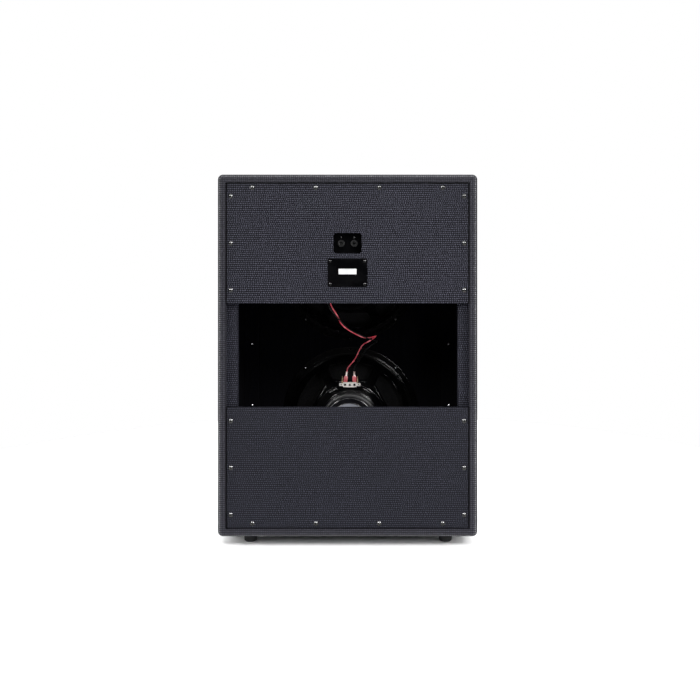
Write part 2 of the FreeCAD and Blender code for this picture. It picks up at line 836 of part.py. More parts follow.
def grille_frame():
    body = new_body("grille_frame_body")
    sketch = new_sketch(body, "XZ_Plane", "outline")
    outline(sketch, rectangle((f"-{GRILLE_X}", GRILLE_X), (GRILLE_LOW, GRILLE_HIGH)))
    pad(body, sketch, "grille_frame_thickness", reverse=True)
    windows = new_sketch(body, "XZ_Plane", "windows")
    x = (f"-({GRILLE_X} - grille_frame_width)", f"{GRILLE_X} - grille_frame_width")
    bar = span(MID_Z, "grille_bar_height")
    rounded(windows, rectangle(x, (f"{GRILLE_LOW} + grille_frame_width", bar[0])), "grille_window_radius")
    rounded(windows, rectangle(x, (bar[1], f"{GRILLE_HIGH} - grille_frame_width")), "grille_window_radius")
    pocket(body, windows)
    node(place(body, y=GRILLE_Y), "grille_frame")


def grille_cloth():
    """The cloth: stretched over the frame's front and folded over its four sides."""
    y = (CLOTH_Y, PAD_Y)
    outside = box("cloth_outside", (f"-{GRILLE_X} - cloth_thickness", f"{GRILLE_X} + cloth_thickness"), y,
                  (f"{GRILLE_LOW} - cloth_thickness", f"{GRILLE_HIGH} + cloth_thickness"))
    inside = box("cloth_inside", (f"-{GRILLE_X}", GRILLE_X), (GRILLE_Y, f"{PAD_Y} + cut_overrun"),
                 (GRILLE_LOW, GRILLE_HIGH))
    node(cut("grille_cloth", outside, inside), "grille_cloth")


def grille_piping():
    """A round cord in the corner between the cloth and the box."""
    body = new_body("piping")
    path = new_sketch(body, "XZ_Plane", "path")
    x = f"({CLEAR_X} - piping_radius)"
    z = f"({CLEAR_HIGH} - piping_radius - {MID_Z})"
    rounded(path, rectangle((f"-{x}", x), (f"-{z}", z)), "piping_corner_radius")
    section = new_sketch(body, "XY_Plane", "section")
    circle(section, "piping_radius", x)
    sweep = body.newObject("PartDesign::AdditivePipe", "piping_sweep")
    sweep.Profile = section
    sweep.Spine = path
    node(place(body, y=f"{CLOTH_Y} - piping_radius", z=MID_Z), "grille_piping")


def grille_fasteners():
    """Hook-and-loop pads between the grille frame and the baffle."""
    x = f"({GRILLE_X} - grille_frame_width / 2)"
    ends = (f"{GRILLE_LOW} + grille_frame_width / 2", MID_Z, f"{GRILLE_HIGH} - grille_frame_width / 2")
    pads = [box(f"grille_pad_{side}_{level}", span(f"({sign} * {x})", "grille_pad_size"), (PAD_Y, BAFFLE_Y),
                span(f"({z})", "grille_pad_size"))
            for side, sign in (("left", -1), ("right", 1))
            for level, z in zip(("low", "middle", "high"), ends)]
    node(group("grille_pads", pads), "grille_fasteners")


# Side handles

HANDLE_Z = "(foot_height + handle_rise)"


def handle_hole(name, x):
    """The cut-out in a side board for the handle's cup."""
    y = span("0", "(cup_width + 2 * cup_clearance)")
    z = span(HANDLE_Z, "(cup_height + 2 * cup_clearance)")
    return box(name, x, y, z)


def handle(name, x, turn, tools):
    """A moulded cup with a flange; the grip is the edge of its mouth, with room for fingers behind."""
    body = new_body(f"{name}_cup")
    flange = new_sketch(body, "XY_Plane", "flange")
    rounded(flange, rectangle(span("0", "handle_height"), span("0", "handle_width")), "handle_radius")
    face = pad(body, flange, "handle_flange")
    round_edges(body, face, "handle_flange_edge", lies_at("Z", "handle_flange"))
    cup = new_sketch(body, "XY_Plane", "cup")
    rounded(cup, rectangle(span("0", "cup_height"), span("0", "cup_width")), "cup_radius")
    pad(body, cup, "cup_depth", reverse=True)
    room = new_sketch(body, "XY_Plane", "room")
    corners = rectangle(span("0", "(cup_height - 2 * cup_wall)"), span("0", "(cup_width - 2 * cup_wall)"))
    rounded(room, corners, "cup_radius - cup_wall")
    pocket(body, room, "cup_depth - cup_wall")
    mouth = new_sketch(body, "XY_Plane", "mouth")
    drop = "grip_drop" if turn is TO_RIGHT else "(-grip_drop)"
    rounded(mouth, rectangle(span(drop, "grip_height"), span("0", "grip_width")), "grip_radius")
    pocket(body, mouth, "handle_flange", reverse=True)
    place(body, x, z=HANDLE_Z, turn=turn)
    node(cut(name, body, *tools), name)


def handle_screw_places():
    y = "(handle_width / 2 - handle_screw_inset)"
    rise = "(handle_height / 2 - handle_screw_inset)"
    seat = "(cabinet_width / 2 + handle_flange)"
    return [(f"{side} * {seat}", f"{sy} * {y}", f"{HANDLE_Z} + {sz} * {rise}", turn)
            for side, turn in ((-1, TO_RIGHT), (1, TO_LEFT)) for sy in (-1, 1) for sz in (-1, 1)]


# Drivers; each piece's own +Z runs back from the front of the frame's flange

def window_tool(name, grow, height):
    """The openings between the frame's spokes, each side set out by grow."""
    body = new_body(name)
    sketch = new_sketch(body, "XY_Plane", "outline")
    half_turn = "180 / spoke_count"
    side = f"(spoke_width / 2 - {grow})"
    inner = f"(window_inner_radius - {grow})"
    outer = f"(window_outer_radius + {grow})"

    def corner(radius, sign):
        x = f"{sign} * ({radius} * sin({half_turn}) - {side} * cos({half_turn}))"
        return x, f"-({radius} * cos({half_turn}) + {side} * sin({half_turn}))"

    def bend(sign):
        turn = f"{half_turn} * window_bend_share"
        return f"{sign} * {outer} * sin({turn})", f"-{outer} * cos({turn})"

    corners = [corner(inner, 1), corner(inner, -1), corner(outer, -1), bend(-1), bend(1), corner(outer, 1)]
    rounded(sketch, corners, f"window_radius + {grow}")
    around(body, pad(body, sketch, height), "spoke_count")
    return body


def spoke_pads(name):
    """A small raised pad across each spoke, where it meets the shelf."""
    body = new_body(name)
    sketch = new_sketch(body, "XY_Plane", "outline")
    half_turn = "180 / spoke_count"

    def corner(along_sign, across_sign):
        radius = f"(spoke_pad_radius + {along_sign} * spoke_pad_length / 2)"
        side = f"{across_sign} * spoke_pad_width / 2"
        return (f"{radius} * sin({half_turn}) + {side} * cos({half_turn})",
                f"{side} * sin({half_turn}) - {radius} * cos({half_turn})")

    rounded(sketch, [corner(-1, -1), corner(1, -1), corner(1, 1), corner(-1, 1)], "spoke_pad_corner")
    around(body, pad(body, sketch, "steel_thickness + spoke_pad_height"), "spoke_count")
    return body


def driver_frame(prefix, seat):
    """The pressed frame: flange, seat, rim, spokes with folded window edges and pads, shelf and hub."""
    slope = "steel_thickness * slope_share"
    rim_out = f"rim_radius + {slope}"
    shelf_out = "shelf_radius + steel_thickness * shelf_corner_share"
    shelf_back = "shelf_depth + steel_thickness"
    shell = seat(turned(f"{prefix}_shell", [
        ("flange_radius", "0"), ("flange_radius", "steel_thickness - flange_edge", "flange_edge"),
        ("flange_radius - flange_edge", "steel_thickness"),
        ("seat_radius + steel_thickness", "steel_thickness"),
        ("seat_radius + steel_thickness", "seat_depth", "steel_thickness"),
        ("seat_radius", "seat_depth + steel_thickness"),
        ("rim_radius + 2 * steel_thickness", "seat_depth + steel_thickness"),
        (rim_out, f"rim_depth + {slope}"), (shelf_out, shelf_back),
        ("hub_radius + steel_thickness", shelf_back), ("hub_radius", HUB_BACK),
        ("hub_hole_radius", HUB_BACK), ("hub_hole_radius", "hub_depth"),
        ("hub_radius - steel_thickness", "hub_depth"), ("hub_radius", "shelf_depth"),
        ("shelf_radius", "shelf_depth"), ("rim_radius", "rim_depth"),
        ("rim_radius + steel_thickness", "seat_depth"), ("seat_radius", "seat_depth"),
        ("seat_radius", "0")]))
    lip = seat(turned(f"{prefix}_lip", [
        ("rim_radius", "rim_depth"), (f"{rim_out} + lip_height * slope_share",
                                      f"rim_depth + {slope} + lip_height * slope_share"),
        (f"{shelf_out} + lip_height * slope_share", f"{shelf_back} + lip_height * slope_share"),
        ("shelf_radius", "shelf_depth")]))
    folded = common(f"{prefix}_folds", lip, seat(window_tool(f"{prefix}_fold_area", "lip_width", HUB_BACK)))
    pads = seat(spoke_pads(f"{prefix}_pads"), "shelf_depth")
    whole = fuse(f"{prefix}_frame_whole", shell, folded, pads)
    windows = seat(window_tool(f"{prefix}_windows", "0", HUB_BACK))
    holes = seat(bolt_holes(f"{prefix}_frame_holes", "steel_thickness + cut_overrun"))
    node(cut(f"{prefix}_frame", whole, windows, holes), f"{prefix}_frame")


def bolt_holes(name, depth):
    """Eight holes on the bolt circle; every other one takes a bolt."""
    body = new_body(name)
    sketch = new_sketch(body, "XY_Plane", "hole")
    reach = "bolt_circle_radius * cos(45)"
    circle(sketch, "bolt_hole_radius", reach, reach)
    around(body, pad(body, sketch, depth), "bolt_hole_count")
    return body


def driver_gasket(prefix, seat):
    front = "(-gasket_thickness)"
    outer = "flange_radius - gasket_inset"
    blank = ring(f"{prefix}_gasket_ring", "gasket_inner_radius", outer, "gasket_thickness")
    holes = bolt_holes(f"{prefix}_gasket_holes", "gasket_thickness + cut_overrun")
    node(cut(f"{prefix}_gasket", seat(blank, front), seat(holes, front)), f"{prefix}_gasket")


def driver_motor(prefix, seat):
    """Top plate, ring magnet and back plate with its pole."""
    top = ring(f"{prefix}_top_ring", "gap_radius", "top_plate_radius", "top_plate_thickness")
    node(seat(top, HUB_BACK), f"{prefix}_top_plate")
    edge = "magnet_radius - magnet_edge"
    magnet = turned(f"{prefix}_magnet_ring", [
        ("magnet_hole_radius", "0"), (edge, "0"), ("magnet_radius", "magnet_edge"),
        ("magnet_radius", "magnet_thickness - magnet_edge"), (edge, "magnet_thickness"),
        ("magnet_hole_radius", "magnet_thickness")])
    node(seat(magnet, MAGNET_FRONT), f"{prefix}_magnet")
    pole_front = "-(magnet_thickness + top_plate_thickness + pole_overhang)"
    rear = "back_plate_thickness"
    back = turned(f"{prefix}_back_disc", [
        ("0", pole_front), ("pole_radius", pole_front), ("pole_radius", "0"), ("back_plate_radius", "0"),
        ("back_plate_radius", f"{rear} - back_plate_edge"), ("back_plate_radius - back_plate_edge", rear),
        ("back_step_radius", rear), ("back_step_radius - back_step", f"{rear} + back_step"),
        ("0", f"{rear} + back_step")])
    node(seat(back, MAGNET_BACK), f"{prefix}_back_plate")


def driver_moving(prefix, seat):
    """Cone, dust cap and voice coil, which travel together."""
    lift = "cone_thickness"
    cone = turned(f"{prefix}_cone_shell", [
        ("former_radius", "cone_neck_depth", "cone_curve_radius"), ("cone_radius", "cone_mouth_depth"),
        ("cone_radius", f"cone_mouth_depth - {lift}", "-cone_curve_radius"),
        ("former_radius", f"cone_neck_depth - {lift}")])
    node(seat(cone), f"{prefix}_cone")
    rim, rise = "(cap_radius - cap_thickness)", "(cap_height - cap_thickness)"
    outer_dome = "((cap_radius ^ 2 + cap_height ^ 2) / (2 * cap_height))"
    inner_dome = f"(({rim} ^ 2 + {rise} ^ 2) / (2 * {rise}))"
    cap = turned(f"{prefix}_cap_dome", [
        ("0", "cap_seat_depth - cap_height", outer_dome), ("cap_radius", "cap_seat_depth"),
        (rim, "cap_seat_depth", f"-{inner_dome}"), ("0", f"cap_seat_depth - {rise}")])
    node(seat(cap), f"{prefix}_dust_cap")
    inner = "former_radius - former_thickness"
    wound = "former_radius + winding_thickness"
    middle = f"({HUB_BACK} + top_plate_thickness / 2)"
    coil_low, coil_high = span(middle, "winding_length")
    end = "cone_neck_depth - cone_thickness + former_length"
    coil = turned(f"{prefix}_former", [
        (inner, f"cone_neck_depth - {lift}"), ("former_radius", "cone_neck_depth"),
        ("former_radius", coil_low), (wound, coil_low), (wound, coil_high), ("former_radius", coil_high),
        ("former_radius", end), (inner, end)])
    node(seat(coil), f"{prefix}_voice_coil")


def rolls(start, end, level, height, count):
    """Zigzag points of a pleated ring from one radius to another, rolls standing off the level."""
    step = f"(({end}) - ({start})) / (2 * {count})"
    total = 2 * int(number(count))
    return [(f"{start} + {step} * {index}", f"{level} - {height} * {index % 2}")
            for index in range(total + 1)]


def pleated(name, land, start, end, level, height, count, thickness, flange):
    """A thin pleated ring with a land at its inside and a flat flange at its outside."""
    front = land + rolls(start, end, level, height, count) + [(flange, level)]
    back = [(x, f"{z} + {thickness}") for x, z in reversed(front)]
    return turned(name, front + back)


def driver_suspension(prefix, seat):
    """Pleated surround at the cone's mouth, and pleated spider at its neck."""
    level = "seat_depth - surround_thickness"
    land = [("cone_radius - surround_overlap", f"{level} + surround_land_rise")]
    surround = pleated(f"{prefix}_surround_ring", land, "cone_radius", "rim_radius + surround_overlap",
                       level, "surround_roll", "surround_roll_count", "surround_thickness",
                       "seat_radius - surround_lip")
    node(seat(surround), f"{prefix}_surround")
    spider = pleated(f"{prefix}_spider_ring", [], "former_radius", "spider_radius - spider_flat",
                     "shelf_depth - spider_thickness", "spider_roll", "spider_roll_count",
                     "spider_thickness", "spider_radius")
    node(seat(spider), f"{prefix}_spider")


def terminal_board(prefix, height):
    """The board on the spider shelf: a strip with an ear at each end, and two tabs that stand up from it."""
    face = f"({FLANGE_Y} + {TERMINAL_FACE})"
    middle = f"({height} + terminal_rise)"
    strip = new_body(f"{prefix}_terminal_strip")
    for name, width, tall in (("middle", "terminal_strip_width", "terminal_height"),
                              ("ears", "terminal_width", "ear_height")):
        sketch = new_sketch(strip, "XY_Plane", name)
        rounded(sketch, rectangle(span("0", width), span("0", tall)), "terminal_corner")
        pad(strip, sketch, "terminal_thickness")
    holes = new_sketch(strip, "XY_Plane", "holes")
    circle(holes, "terminal_hole_radius")
    for sign in (-1, 1):
        circle(holes, "ear_hole_radius", f"{sign} * (terminal_width / 2 - ear_hole_inset)")
    pocket(strip, holes)
    board = place(strip, "0", f"{FLANGE_Y} + shelf_depth + steel_thickness", middle, TO_BACK)
    tabs = [box(f"{prefix}_terminal_tab_{side}", span(f"({sign} * terminal_pitch / 2)", "tab_width"),
                (face, f"{face} + tab_thickness"),
                (middle, f"{middle} + terminal_height / 2 + tab_length"))
            for side, sign in (("left", -1), ("right", 1))]
    node(group(f"{prefix}_terminal", [board, *tabs]), f"{prefix}_terminal_board")


def driver(prefix, height):
    def seat(thing, depth="0"):
        return place(thing, "0", f"{FLANGE_Y} + {depth}", height, TO_BACK)

    driver_frame(prefix, seat)
    driver_gasket(prefix, seat)
    driver_motor(prefix, seat)
    driver_moving(prefix, seat)
    driver_suspension(prefix, seat)
    terminal_board(prefix, height)
    tinsel_leads(prefix, height)


# Wires: straight runs joined by tangent arcs, each as large as its two runs allow

ARC_SHARE = 0.45


def tube(name, points, radius):
    spots = [Vector(*point) for point in points]
    edges = []
    start = spots[0]
    radii = []
    for before, here, after in zip(spots, spots[1:], spots[2:]):
        back, ahead = before - here, after - here
        setback = ARC_SHARE * min(back.Length, ahead.Length)
        back.normalize()
        ahead.normalize()
        half_turn = (math.pi - back.getAngle(ahead)) / 2
        bend = setback / math.tan(half_turn)
        radii.append(bend)
        middle = here + (back + ahead).normalize() * (bend / math.cos(half_turn) - bend)
        edges.append(Part.LineSegment(start, here + back * setback).toShape())
        start = here + ahead * setback
        edges.append(Part.Arc(here + back * setback, middle, start).toShape())
    edges.append(Part.LineSegment(start, spots[-1]).toShape())
    path = Part.Wire(edges)
    ring_edge = Part.Circle(spots[0], spots[1] - spots[0], radius).toShape()
    shell = Part.BRepOffsetAPI.MakePipeShell(path)
    shell.add(Part.Wire([ring_edge]))
    shell.build()
    shell.makeSolid()
    solid = shell.shape()
    wanted = math.pi * radius ** 2 * path.Length
    print(f"{name}: {path.Length:.0f} mm long, least bend radius {min(radii):.1f} mm, "
          f"volume {solid.Volume / wanted:.4f} of section times length")
    return solid


def tube_feature(name, solid):
    feature = DOC.addObject("Part::Feature", name)
    feature.Shape = solid
    return feature


def spot(x, y, z):
    return number(x), number(y), number(z)


def tinsel_leads(prefix, height):
    """Two limp leads from the terminal board, through the window, to the back of the cone."""
    rise = number(f"{height} + terminal_rise + ear_height / 2")
    face = number(f"{FLANGE_Y} + {TERMINAL_FACE}")
    solids = []
    for sign in (-1, 1):
        x = sign * number("tinsel_pitch / 2")
        route = [(x, face - forward, rise + up) for forward, up in TINSEL_ROUTE]
        solids.append(tube(f"{prefix} tinsel lead", route, number("tinsel_radius")))
    feature = tube_feature(f"{prefix}_leads", Part.makeCompound(solids))
    node(feature, f"{prefix}_tinsel_leads")


def crimp_terminal():
    """A push-on terminal: flat housing with a slot for the tab, and a round barrel for the wire."""
    body = new_body("crimp")
    slot_end = "(tab_length - crimp_standoff + tab_clearance)"
    sketch = new_sketch(body, "XY_Plane", "housing")
    rounded(sketch, rectangle(span("0", "crimp_width"), span("0", "crimp_thickness")), "crimp_radius")
    pad(body, sketch, "crimp_length")
    barrel = new_sketch(body, "XY_Plane", "barrel")
    circle(barrel, "barrel_radius")
    pad(body, barrel, "crimp_length + barrel_length")
    slot = new_sketch(body, "XY_Plane", "slot")
    outline(slot, rectangle(span("0", "(tab_width + 2 * tab_clearance)"),
                            span("0", "(tab_thickness + 2 * tab_clearance)")))
    pocket(body, slot, slot_end, reverse=True)
    return body


def jack_tab(side, level):
    """Where a jack's tab leaves its housing."""
    return (f"({side} * jack_pitch / 2)", f"({JACK_PLATE_Y} - jack_body_depth)",
            f"({JACK_Z} + {level} * jack_tab_pitch / 2)")


def driver_tab(height, side):
    """Where a driver's tab leaves its terminal board."""
    return (f"({side} * terminal_pitch / 2)", f"({FLANGE_Y} + {TERMINAL_FACE} + tab_thickness / 2)",
            f"({height} + terminal_rise + terminal_height / 2)")


# Each wire's points between its two terminals, in millimetres, as it hangs in the box
ROUTES = {
    "lower_red_wire": [
        (13, 74, 612.8), (15, 62, 606), (18, 57, 592), (22, 56.5, 574), (27.5, 59, 553), (33.5, 63.5, 531),
        (38.5, 69, 510), (40.5, 74, 491), (34.5, 75.5, 474), (23.5, 70, 458), (16.8, 62, 440),
        (4.5, 52.5, 428), (-12, 43, 418), (-29, 34, 408.5), (-44, 25.5, 406.5), (-55, 17.5, 409.5),
        (-59, 7, 410),
        (-52.5, -1.5, 403.5), (-41, -6, 396), (-29, -11, 389.5), (-21, -18, 376), (-14, -26, 359),
        (-6, -31.5, 349.5), (3, -35, 344.5), (10, -36.3, 337)],
    "lower_black_wire": [
        (13, 77, 600.8), (12.6, 69, 592.5), (14.5, 66, 578), (20, 67.5, 557), (27, 71, 535), (35, 76, 513),
        (43.5, 80.5, 492.5), (40.5, 84, 475), (27.5, 79.5, 459.5), (13.5, 68.5, 441.5), (1, 58.5, 428.5),
        (-14, 49.5, 419.5), (-30, 40, 411.5), (-45, 31, 404.5), (-55.5, 22, 400.5), (-61.5, 11.5, 399),
        (-58.5, 0.5, 395.5), (-49, -7, 388.5), (-38, -12.5, 380), (-29.5, -19, 367.5), (-22, -27, 353),
        (-14.5, -33.5, 343.5), (-10, -36.3, 336)],
    "upper_red_wire": [
        (-13, 75, 612.8), (-12.5, 63, 614), (-11, 48.5, 620), (-8, 33, 629.5), (-4, 17, 641.5),
        (0.5, 0, 654), (5, -15, 664), (8.5, -27, 668), (10, -36.3, 662)],
    "upper_black_wire": [
        (-13, 75, 600.8), (-13.8, 62.5, 601), (-15, 48, 606.5), (-16, 32.5, 618), (-16.5, 16, 634),
        (-16, 0, 650), (-14.6, -13.5, 663), (-12.4, -25.5, 668.5), (-10, -36.3, 662.5)],
}

# A tinsel lead's points from the top edge of the terminal board: forward of its face, and up
TINSEL_ROUTE = [(1, 0), (1, 8.5), (8, 14.5), (17, 13.5), (25, 7.5), (31, -0.5), (38, -5.5), (45.2, -7.3)]


def wires():
    """Four wires and the terminals on their ends."""
    crimp = crimp_terminal()
    ends = []
    for name, points in ROUTES.items():
        level, colour, _ = name.split("_")
        red = colour == "red"
        jack_end = jack_tab(1 if level == "lower" else -1, 1 if red else -1)
        driver_end = driver_tab(DRIVER_Z[level], 1 if red else -1)
        ends.append((jack_end[0], f"{jack_end[1]} - crimp_standoff", jack_end[2], TO_FRONT))
        ends.append((driver_end[0], driver_end[1], f"{driver_end[2]} + crimp_standoff", UPRIGHT))
        start = spot(jack_end[0], f"{jack_end[1]} - {CRIMP_REACH}", jack_end[2])
        end = spot(driver_end[0], driver_end[1], f"{driver_end[2]} + {CRIMP_REACH}")
        node(tube_feature(f"{name}_tube", tube(name, [start, *points, end], number("wire_radius"))), name)
    node(scatter("crimp_set", crimp, ends), "crimp_terminals")


# Assembly

def screws(label, size, places):
    """A set of like screws as one node; gives the holes for them."""
    head_radius, head_height, shank_radius, length = size
    screw = pan_screw(f"{label}_screw", head_radius, head_height, shank_radius, length)
    node(scatter(f"{label}_set", screw, places), label)
    return scatter(f"{label}_holes", drill(f"{label}_drill", shank_radius, length), places)


WOOD_SCREW = ("screw_head_radius", "screw_head_height", "screw_shank_radius", "screw_length")
SMALL_SCREW = ("small_head_radius", "small_head_height", "small_shank_radius", "small_screw_length")
FOOT_SCREW = ("foot_head_radius", "foot_head_height", "foot_shank_radius", "foot_screw_length")
BOLT = ("bolt_head_radius", "bolt_head_height", "bolt_radius", "bolt_length")


def carcass():
    """The box with its covering, feet and side handles."""
    handle_holes = screws("handle_screws", WOOD_SCREW, handle_screw_places())
    foot_holes = screws("foot_screws", FOOT_SCREW, foot_places("foot_bore_depth"))
    outside = "(cabinet_width / 2 + cut_overrun)"
    inside = f"({INNER_X} - cut_overrun)"
    left_hole = handle_hole("left_handle_hole", (f"-{outside}", f"-{inside}"))
    right_hole = handle_hole("right_handle_hole", (inside, outside))
    wood = envelope("wood_outside", "vinyl_thickness")
    side_panel("left_side_panel", "vinyl_thickness - cabinet_width / 2", wood, (left_hole, handle_holes))
    side_panel("right_side_panel", INNER_X, wood, (right_hole, handle_holes))
    flat_panel("top_panel", INNER_HIGH, wood, ())
    flat_panel("bottom_panel", "foot_height + vinyl_thickness", wood, (foot_holes,))
    vinyl_covering(wood, (left_hole, right_hole, handle_holes, foot_holes))
    handle("left_handle", "-cabinet_width / 2", TO_LEFT, (handle_holes,))
    handle("right_handle", "cabinet_width / 2", TO_RIGHT, (handle_holes,))
    rubber_feet()


def back():
    """Back panels with their cleats, jack plate and rating plate."""
    panel_holes = screws("back_panel_screws", WOOD_SCREW, panel_screw_places())
    opening = jack_cutout()
    plate_corners = corner_places("plate_width", "plate_height", "plate_screw_inset",
                                  f"{PANEL_FACE_Y} + plate_thickness", f"({JACK_Z} - plate_drop)", TO_FRONT)
    plate_holes = screws("plate_screws", SMALL_SCREW, plate_corners + jack_plate_screw_places())
    back_panel("upper_back_panel", UPPER_PANEL, (opening, panel_holes, plate_holes))
    back_panel("lower_back_panel", LOWER_PANEL, (panel_holes,))
    cleats("rear_cleats", "rear_cleat_width", "rear_cleat_width",
           (f"{PANEL_INNER_Y} - rear_cleat_depth", PANEL_INNER_Y), (panel_holes,))
    jack_plate((plate_holes,))
    jack("left_jack", "(-jack_pitch / 2)")
    jack("right_jack", "(jack_pitch / 2)")
    jack_nuts()
    rating_plate((plate_holes,))


def front():
    """Baffle with its cleats, tee nuts and driver bolts, and the grille before it."""
    baffle_holes = screws("baffle_screws", WOOD_SCREW, baffle_screw_places())
    cleats("baffle_cleats", "baffle_cleat_width", "baffle_cross_width",
           (BAFFLE_BACK_Y, f"{BAFFLE_BACK_Y} + baffle_cleat_depth"), (baffle_holes,))
    through = "baffle_thickness + 2 * cut_overrun"
    tee_hole = cylinder("tee_hole", "tee_barrel_radius + screw_clearance", through)
    tee_holes = scatter("tee_holes", tee_hole, bolt_places(f"{BAFFLE_Y} - cut_overrun", TO_BACK))
    baffle_board((baffle_holes, tee_holes))
    bolt = pan_screw("driver_bolt", *BOLT)
    seat = f"{FLANGE_Y} + steel_thickness"
    node(scatter("driver_bolt_set", bolt, bolt_places(seat, TO_FRONT)), "driver_bolts")
    bore = "bolt_radius + thread_clearance"
    tee = turned("tee_nut", [
        (bore, "-tee_thickness"), ("tee_radius", "-tee_thickness"), ("tee_radius", "0"),
        ("tee_barrel_radius", "0"), ("tee_barrel_radius", "tee_barrel_length"), (bore, "tee_barrel_length")])
    node(scatter("tee_nut_set", tee, bolt_places(BAFFLE_Y, TO_BACK)), "tee_nuts")
    grille_frame()
    grille_cloth()
    grille_piping()
    grille_fasteners()


def write_parts():
    """Check every object, then write one file for each piece."""
    DOC.recompute()
    failed = [thing.Name for thing in DOC.Objects if {"Invalid", "Error"} & set(thing.State)]
    failed += [thing.Label for thing in NODES if thing.Shape.isNull() or not thing.Shape.isValid()]
    if failed:
        raise RuntimeError("failed: " + ", ".join(failed))
    os.makedirs("parts", exist_ok=True)
    for thing in NODES:
        thing.Shape.exportStep(f"parts/{thing.Label}.step")
    print(f"{len(NODES)} pieces written")


fill_sheet()
carcass()
back()
front()
for level, height in DRIVER_Z.items():
    driver(level, height)
wires()
write_parts()
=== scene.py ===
import math
import random
from typing import NamedTuple

import bmesh
import bpy
from mathutils import Matrix, Vector


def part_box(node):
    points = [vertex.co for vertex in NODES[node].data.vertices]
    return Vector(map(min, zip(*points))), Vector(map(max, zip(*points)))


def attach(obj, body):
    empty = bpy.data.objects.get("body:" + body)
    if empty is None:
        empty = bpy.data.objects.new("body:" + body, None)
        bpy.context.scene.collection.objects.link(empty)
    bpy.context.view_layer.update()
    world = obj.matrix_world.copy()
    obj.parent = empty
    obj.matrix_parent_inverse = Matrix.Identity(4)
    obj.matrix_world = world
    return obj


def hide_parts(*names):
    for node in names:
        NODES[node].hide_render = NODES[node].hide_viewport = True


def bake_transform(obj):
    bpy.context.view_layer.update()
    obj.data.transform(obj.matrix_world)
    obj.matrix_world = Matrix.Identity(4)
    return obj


# A tall open-back guitar speaker cabinet, seen from behind, in metres.
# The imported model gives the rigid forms; this script adds looks, wires, cloth and flexible rings.

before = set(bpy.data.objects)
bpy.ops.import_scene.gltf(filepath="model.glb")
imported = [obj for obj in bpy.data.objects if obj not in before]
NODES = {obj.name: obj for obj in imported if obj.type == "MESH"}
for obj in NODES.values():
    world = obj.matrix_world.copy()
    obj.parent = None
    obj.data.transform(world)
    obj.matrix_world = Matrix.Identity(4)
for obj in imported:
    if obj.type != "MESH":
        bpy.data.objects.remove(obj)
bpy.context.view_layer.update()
MM = 0.001
CABINET = "cabinet"
LEVELS = ("lower", "upper")
DRIVER_Z = {level: sum(corner.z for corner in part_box(f"{level}_magnet")) / 2 for level in LEVELS}
TO_REAR = Vector((0, 1, 0))
# The turn of a camera that looks at the rear, and of a numeral that is read there
SEEN_FROM_BEHIND = (math.radians(90), 0, math.radians(180))

# Camera: behind the box, level, with the frame shifted so that the box stands as in the photograph

IMAGE_SIDE = 700
SENSOR_WIDTH = 36
FOCAL_PIXELS = 826.5
VANISHING_PIXEL = (370, 268)
CAMERA_PLACE = (-0.0449, 1.8025, 0.5572)


def make_camera():
    data = bpy.data.cameras.new("camera")
    data.sensor_width = SENSOR_WIDTH
    data.lens = SENSOR_WIDTH * FOCAL_PIXELS / IMAGE_SIDE
    data.shift_x = (IMAGE_SIDE / 2 - VANISHING_PIXEL[0]) / IMAGE_SIDE
    data.shift_y = (VANISHING_PIXEL[1] - IMAGE_SIDE / 2) / IMAGE_SIDE
    camera = bpy.data.objects.new("camera", data)
    camera.location = CAMERA_PLACE
    camera.rotation_euler = SEEN_FROM_BEHIND
    bpy.context.collection.objects.link(camera)
    bpy.context.scene.camera = camera


# Node trees: short calls for the nodes of materials and of the world

# Sockets of a mix node, by what it mixes: factor, first, second and result
MIX_SOCKETS = {"FLOAT": (0, 2, 3, 0), "RGBA": (0, 6, 7, 2)}
BEVEL_SAMPLES = 6
# How much a surface faces one side where its rounding starts and is full, and how much it faces the rear: the
# mask of the painted edge shading
ROUND_RAMP = (0.995, 0.95)
REAR_RAMP = (0.55, 0.85)
# Rows out of step: the step between rows in the noise, and the cells in one stretch of a row
ROW_STEP = 3.7
ROW_LENGTH = 9


def opaque(colour):
    """A colour with full cover; a socket stays as it is."""
    return colour if isinstance(colour, bpy.types.NodeSocket) else (*colour, 1)


def lightened(colour, gain, lift):
    return tuple(min(1.0, part * gain + lift) for part in colour)


class NodeTree:
    """A node tree, with numbers or sockets as the inputs of its new nodes."""

    def __init__(self, tree):
        self.tree = tree

    def join(self, socket, value):
        if isinstance(value, bpy.types.NodeSocket):
            self.tree.links.new(value, socket)
        else:
            socket.default_value = value

    def add(self, kind, *values, **settings):
        """A new node; the values go to its inputs in order."""
        made = self.tree.nodes.new(kind)
        for key, value in settings.items():
            setattr(made, key, value)
        for socket, value in zip(made.inputs, values):
            self.join(socket, value)
        return made

    def math(self, operation, *values):
        return self.add("ShaderNodeMath", *values, operation=operation).outputs[0]

    def split(self, vector):
        return self.add("ShaderNodeSeparateXYZ", vector).outputs

    def ramp(self, value, low, high, to_low=0.0, to_high=1.0):
        return self.add("ShaderNodeMapRange", value, low, high, to_low, to_high).outputs[0]

    def mix(self, kind, *values):
        made = self.add("ShaderNodeMix", data_type=kind)
        *inputs, result = MIX_SOCKETS[kind]
        for index, value in zip(inputs, values):
            self.join(made.inputs[index], value)
        return made.outputs[result]

    def pick(self, factor, first, second):
        """The first number at factor 0 and the second at factor 1."""
        return self.mix("FLOAT", factor, first, second)

    def shade(self, factor, first, second):
        """The first colour at factor 0 and the second at factor 1."""
        return self.mix("RGBA", factor, opaque(first), opaque(second))


class Wear(NamedTuple):
    """Lighter, rougher marks: their noise, where they start and end in it, and what they change."""
    scale: float
    detail: float
    start: float
    end: float
    gain: float
    lift: float
    share: float
    rougher: float


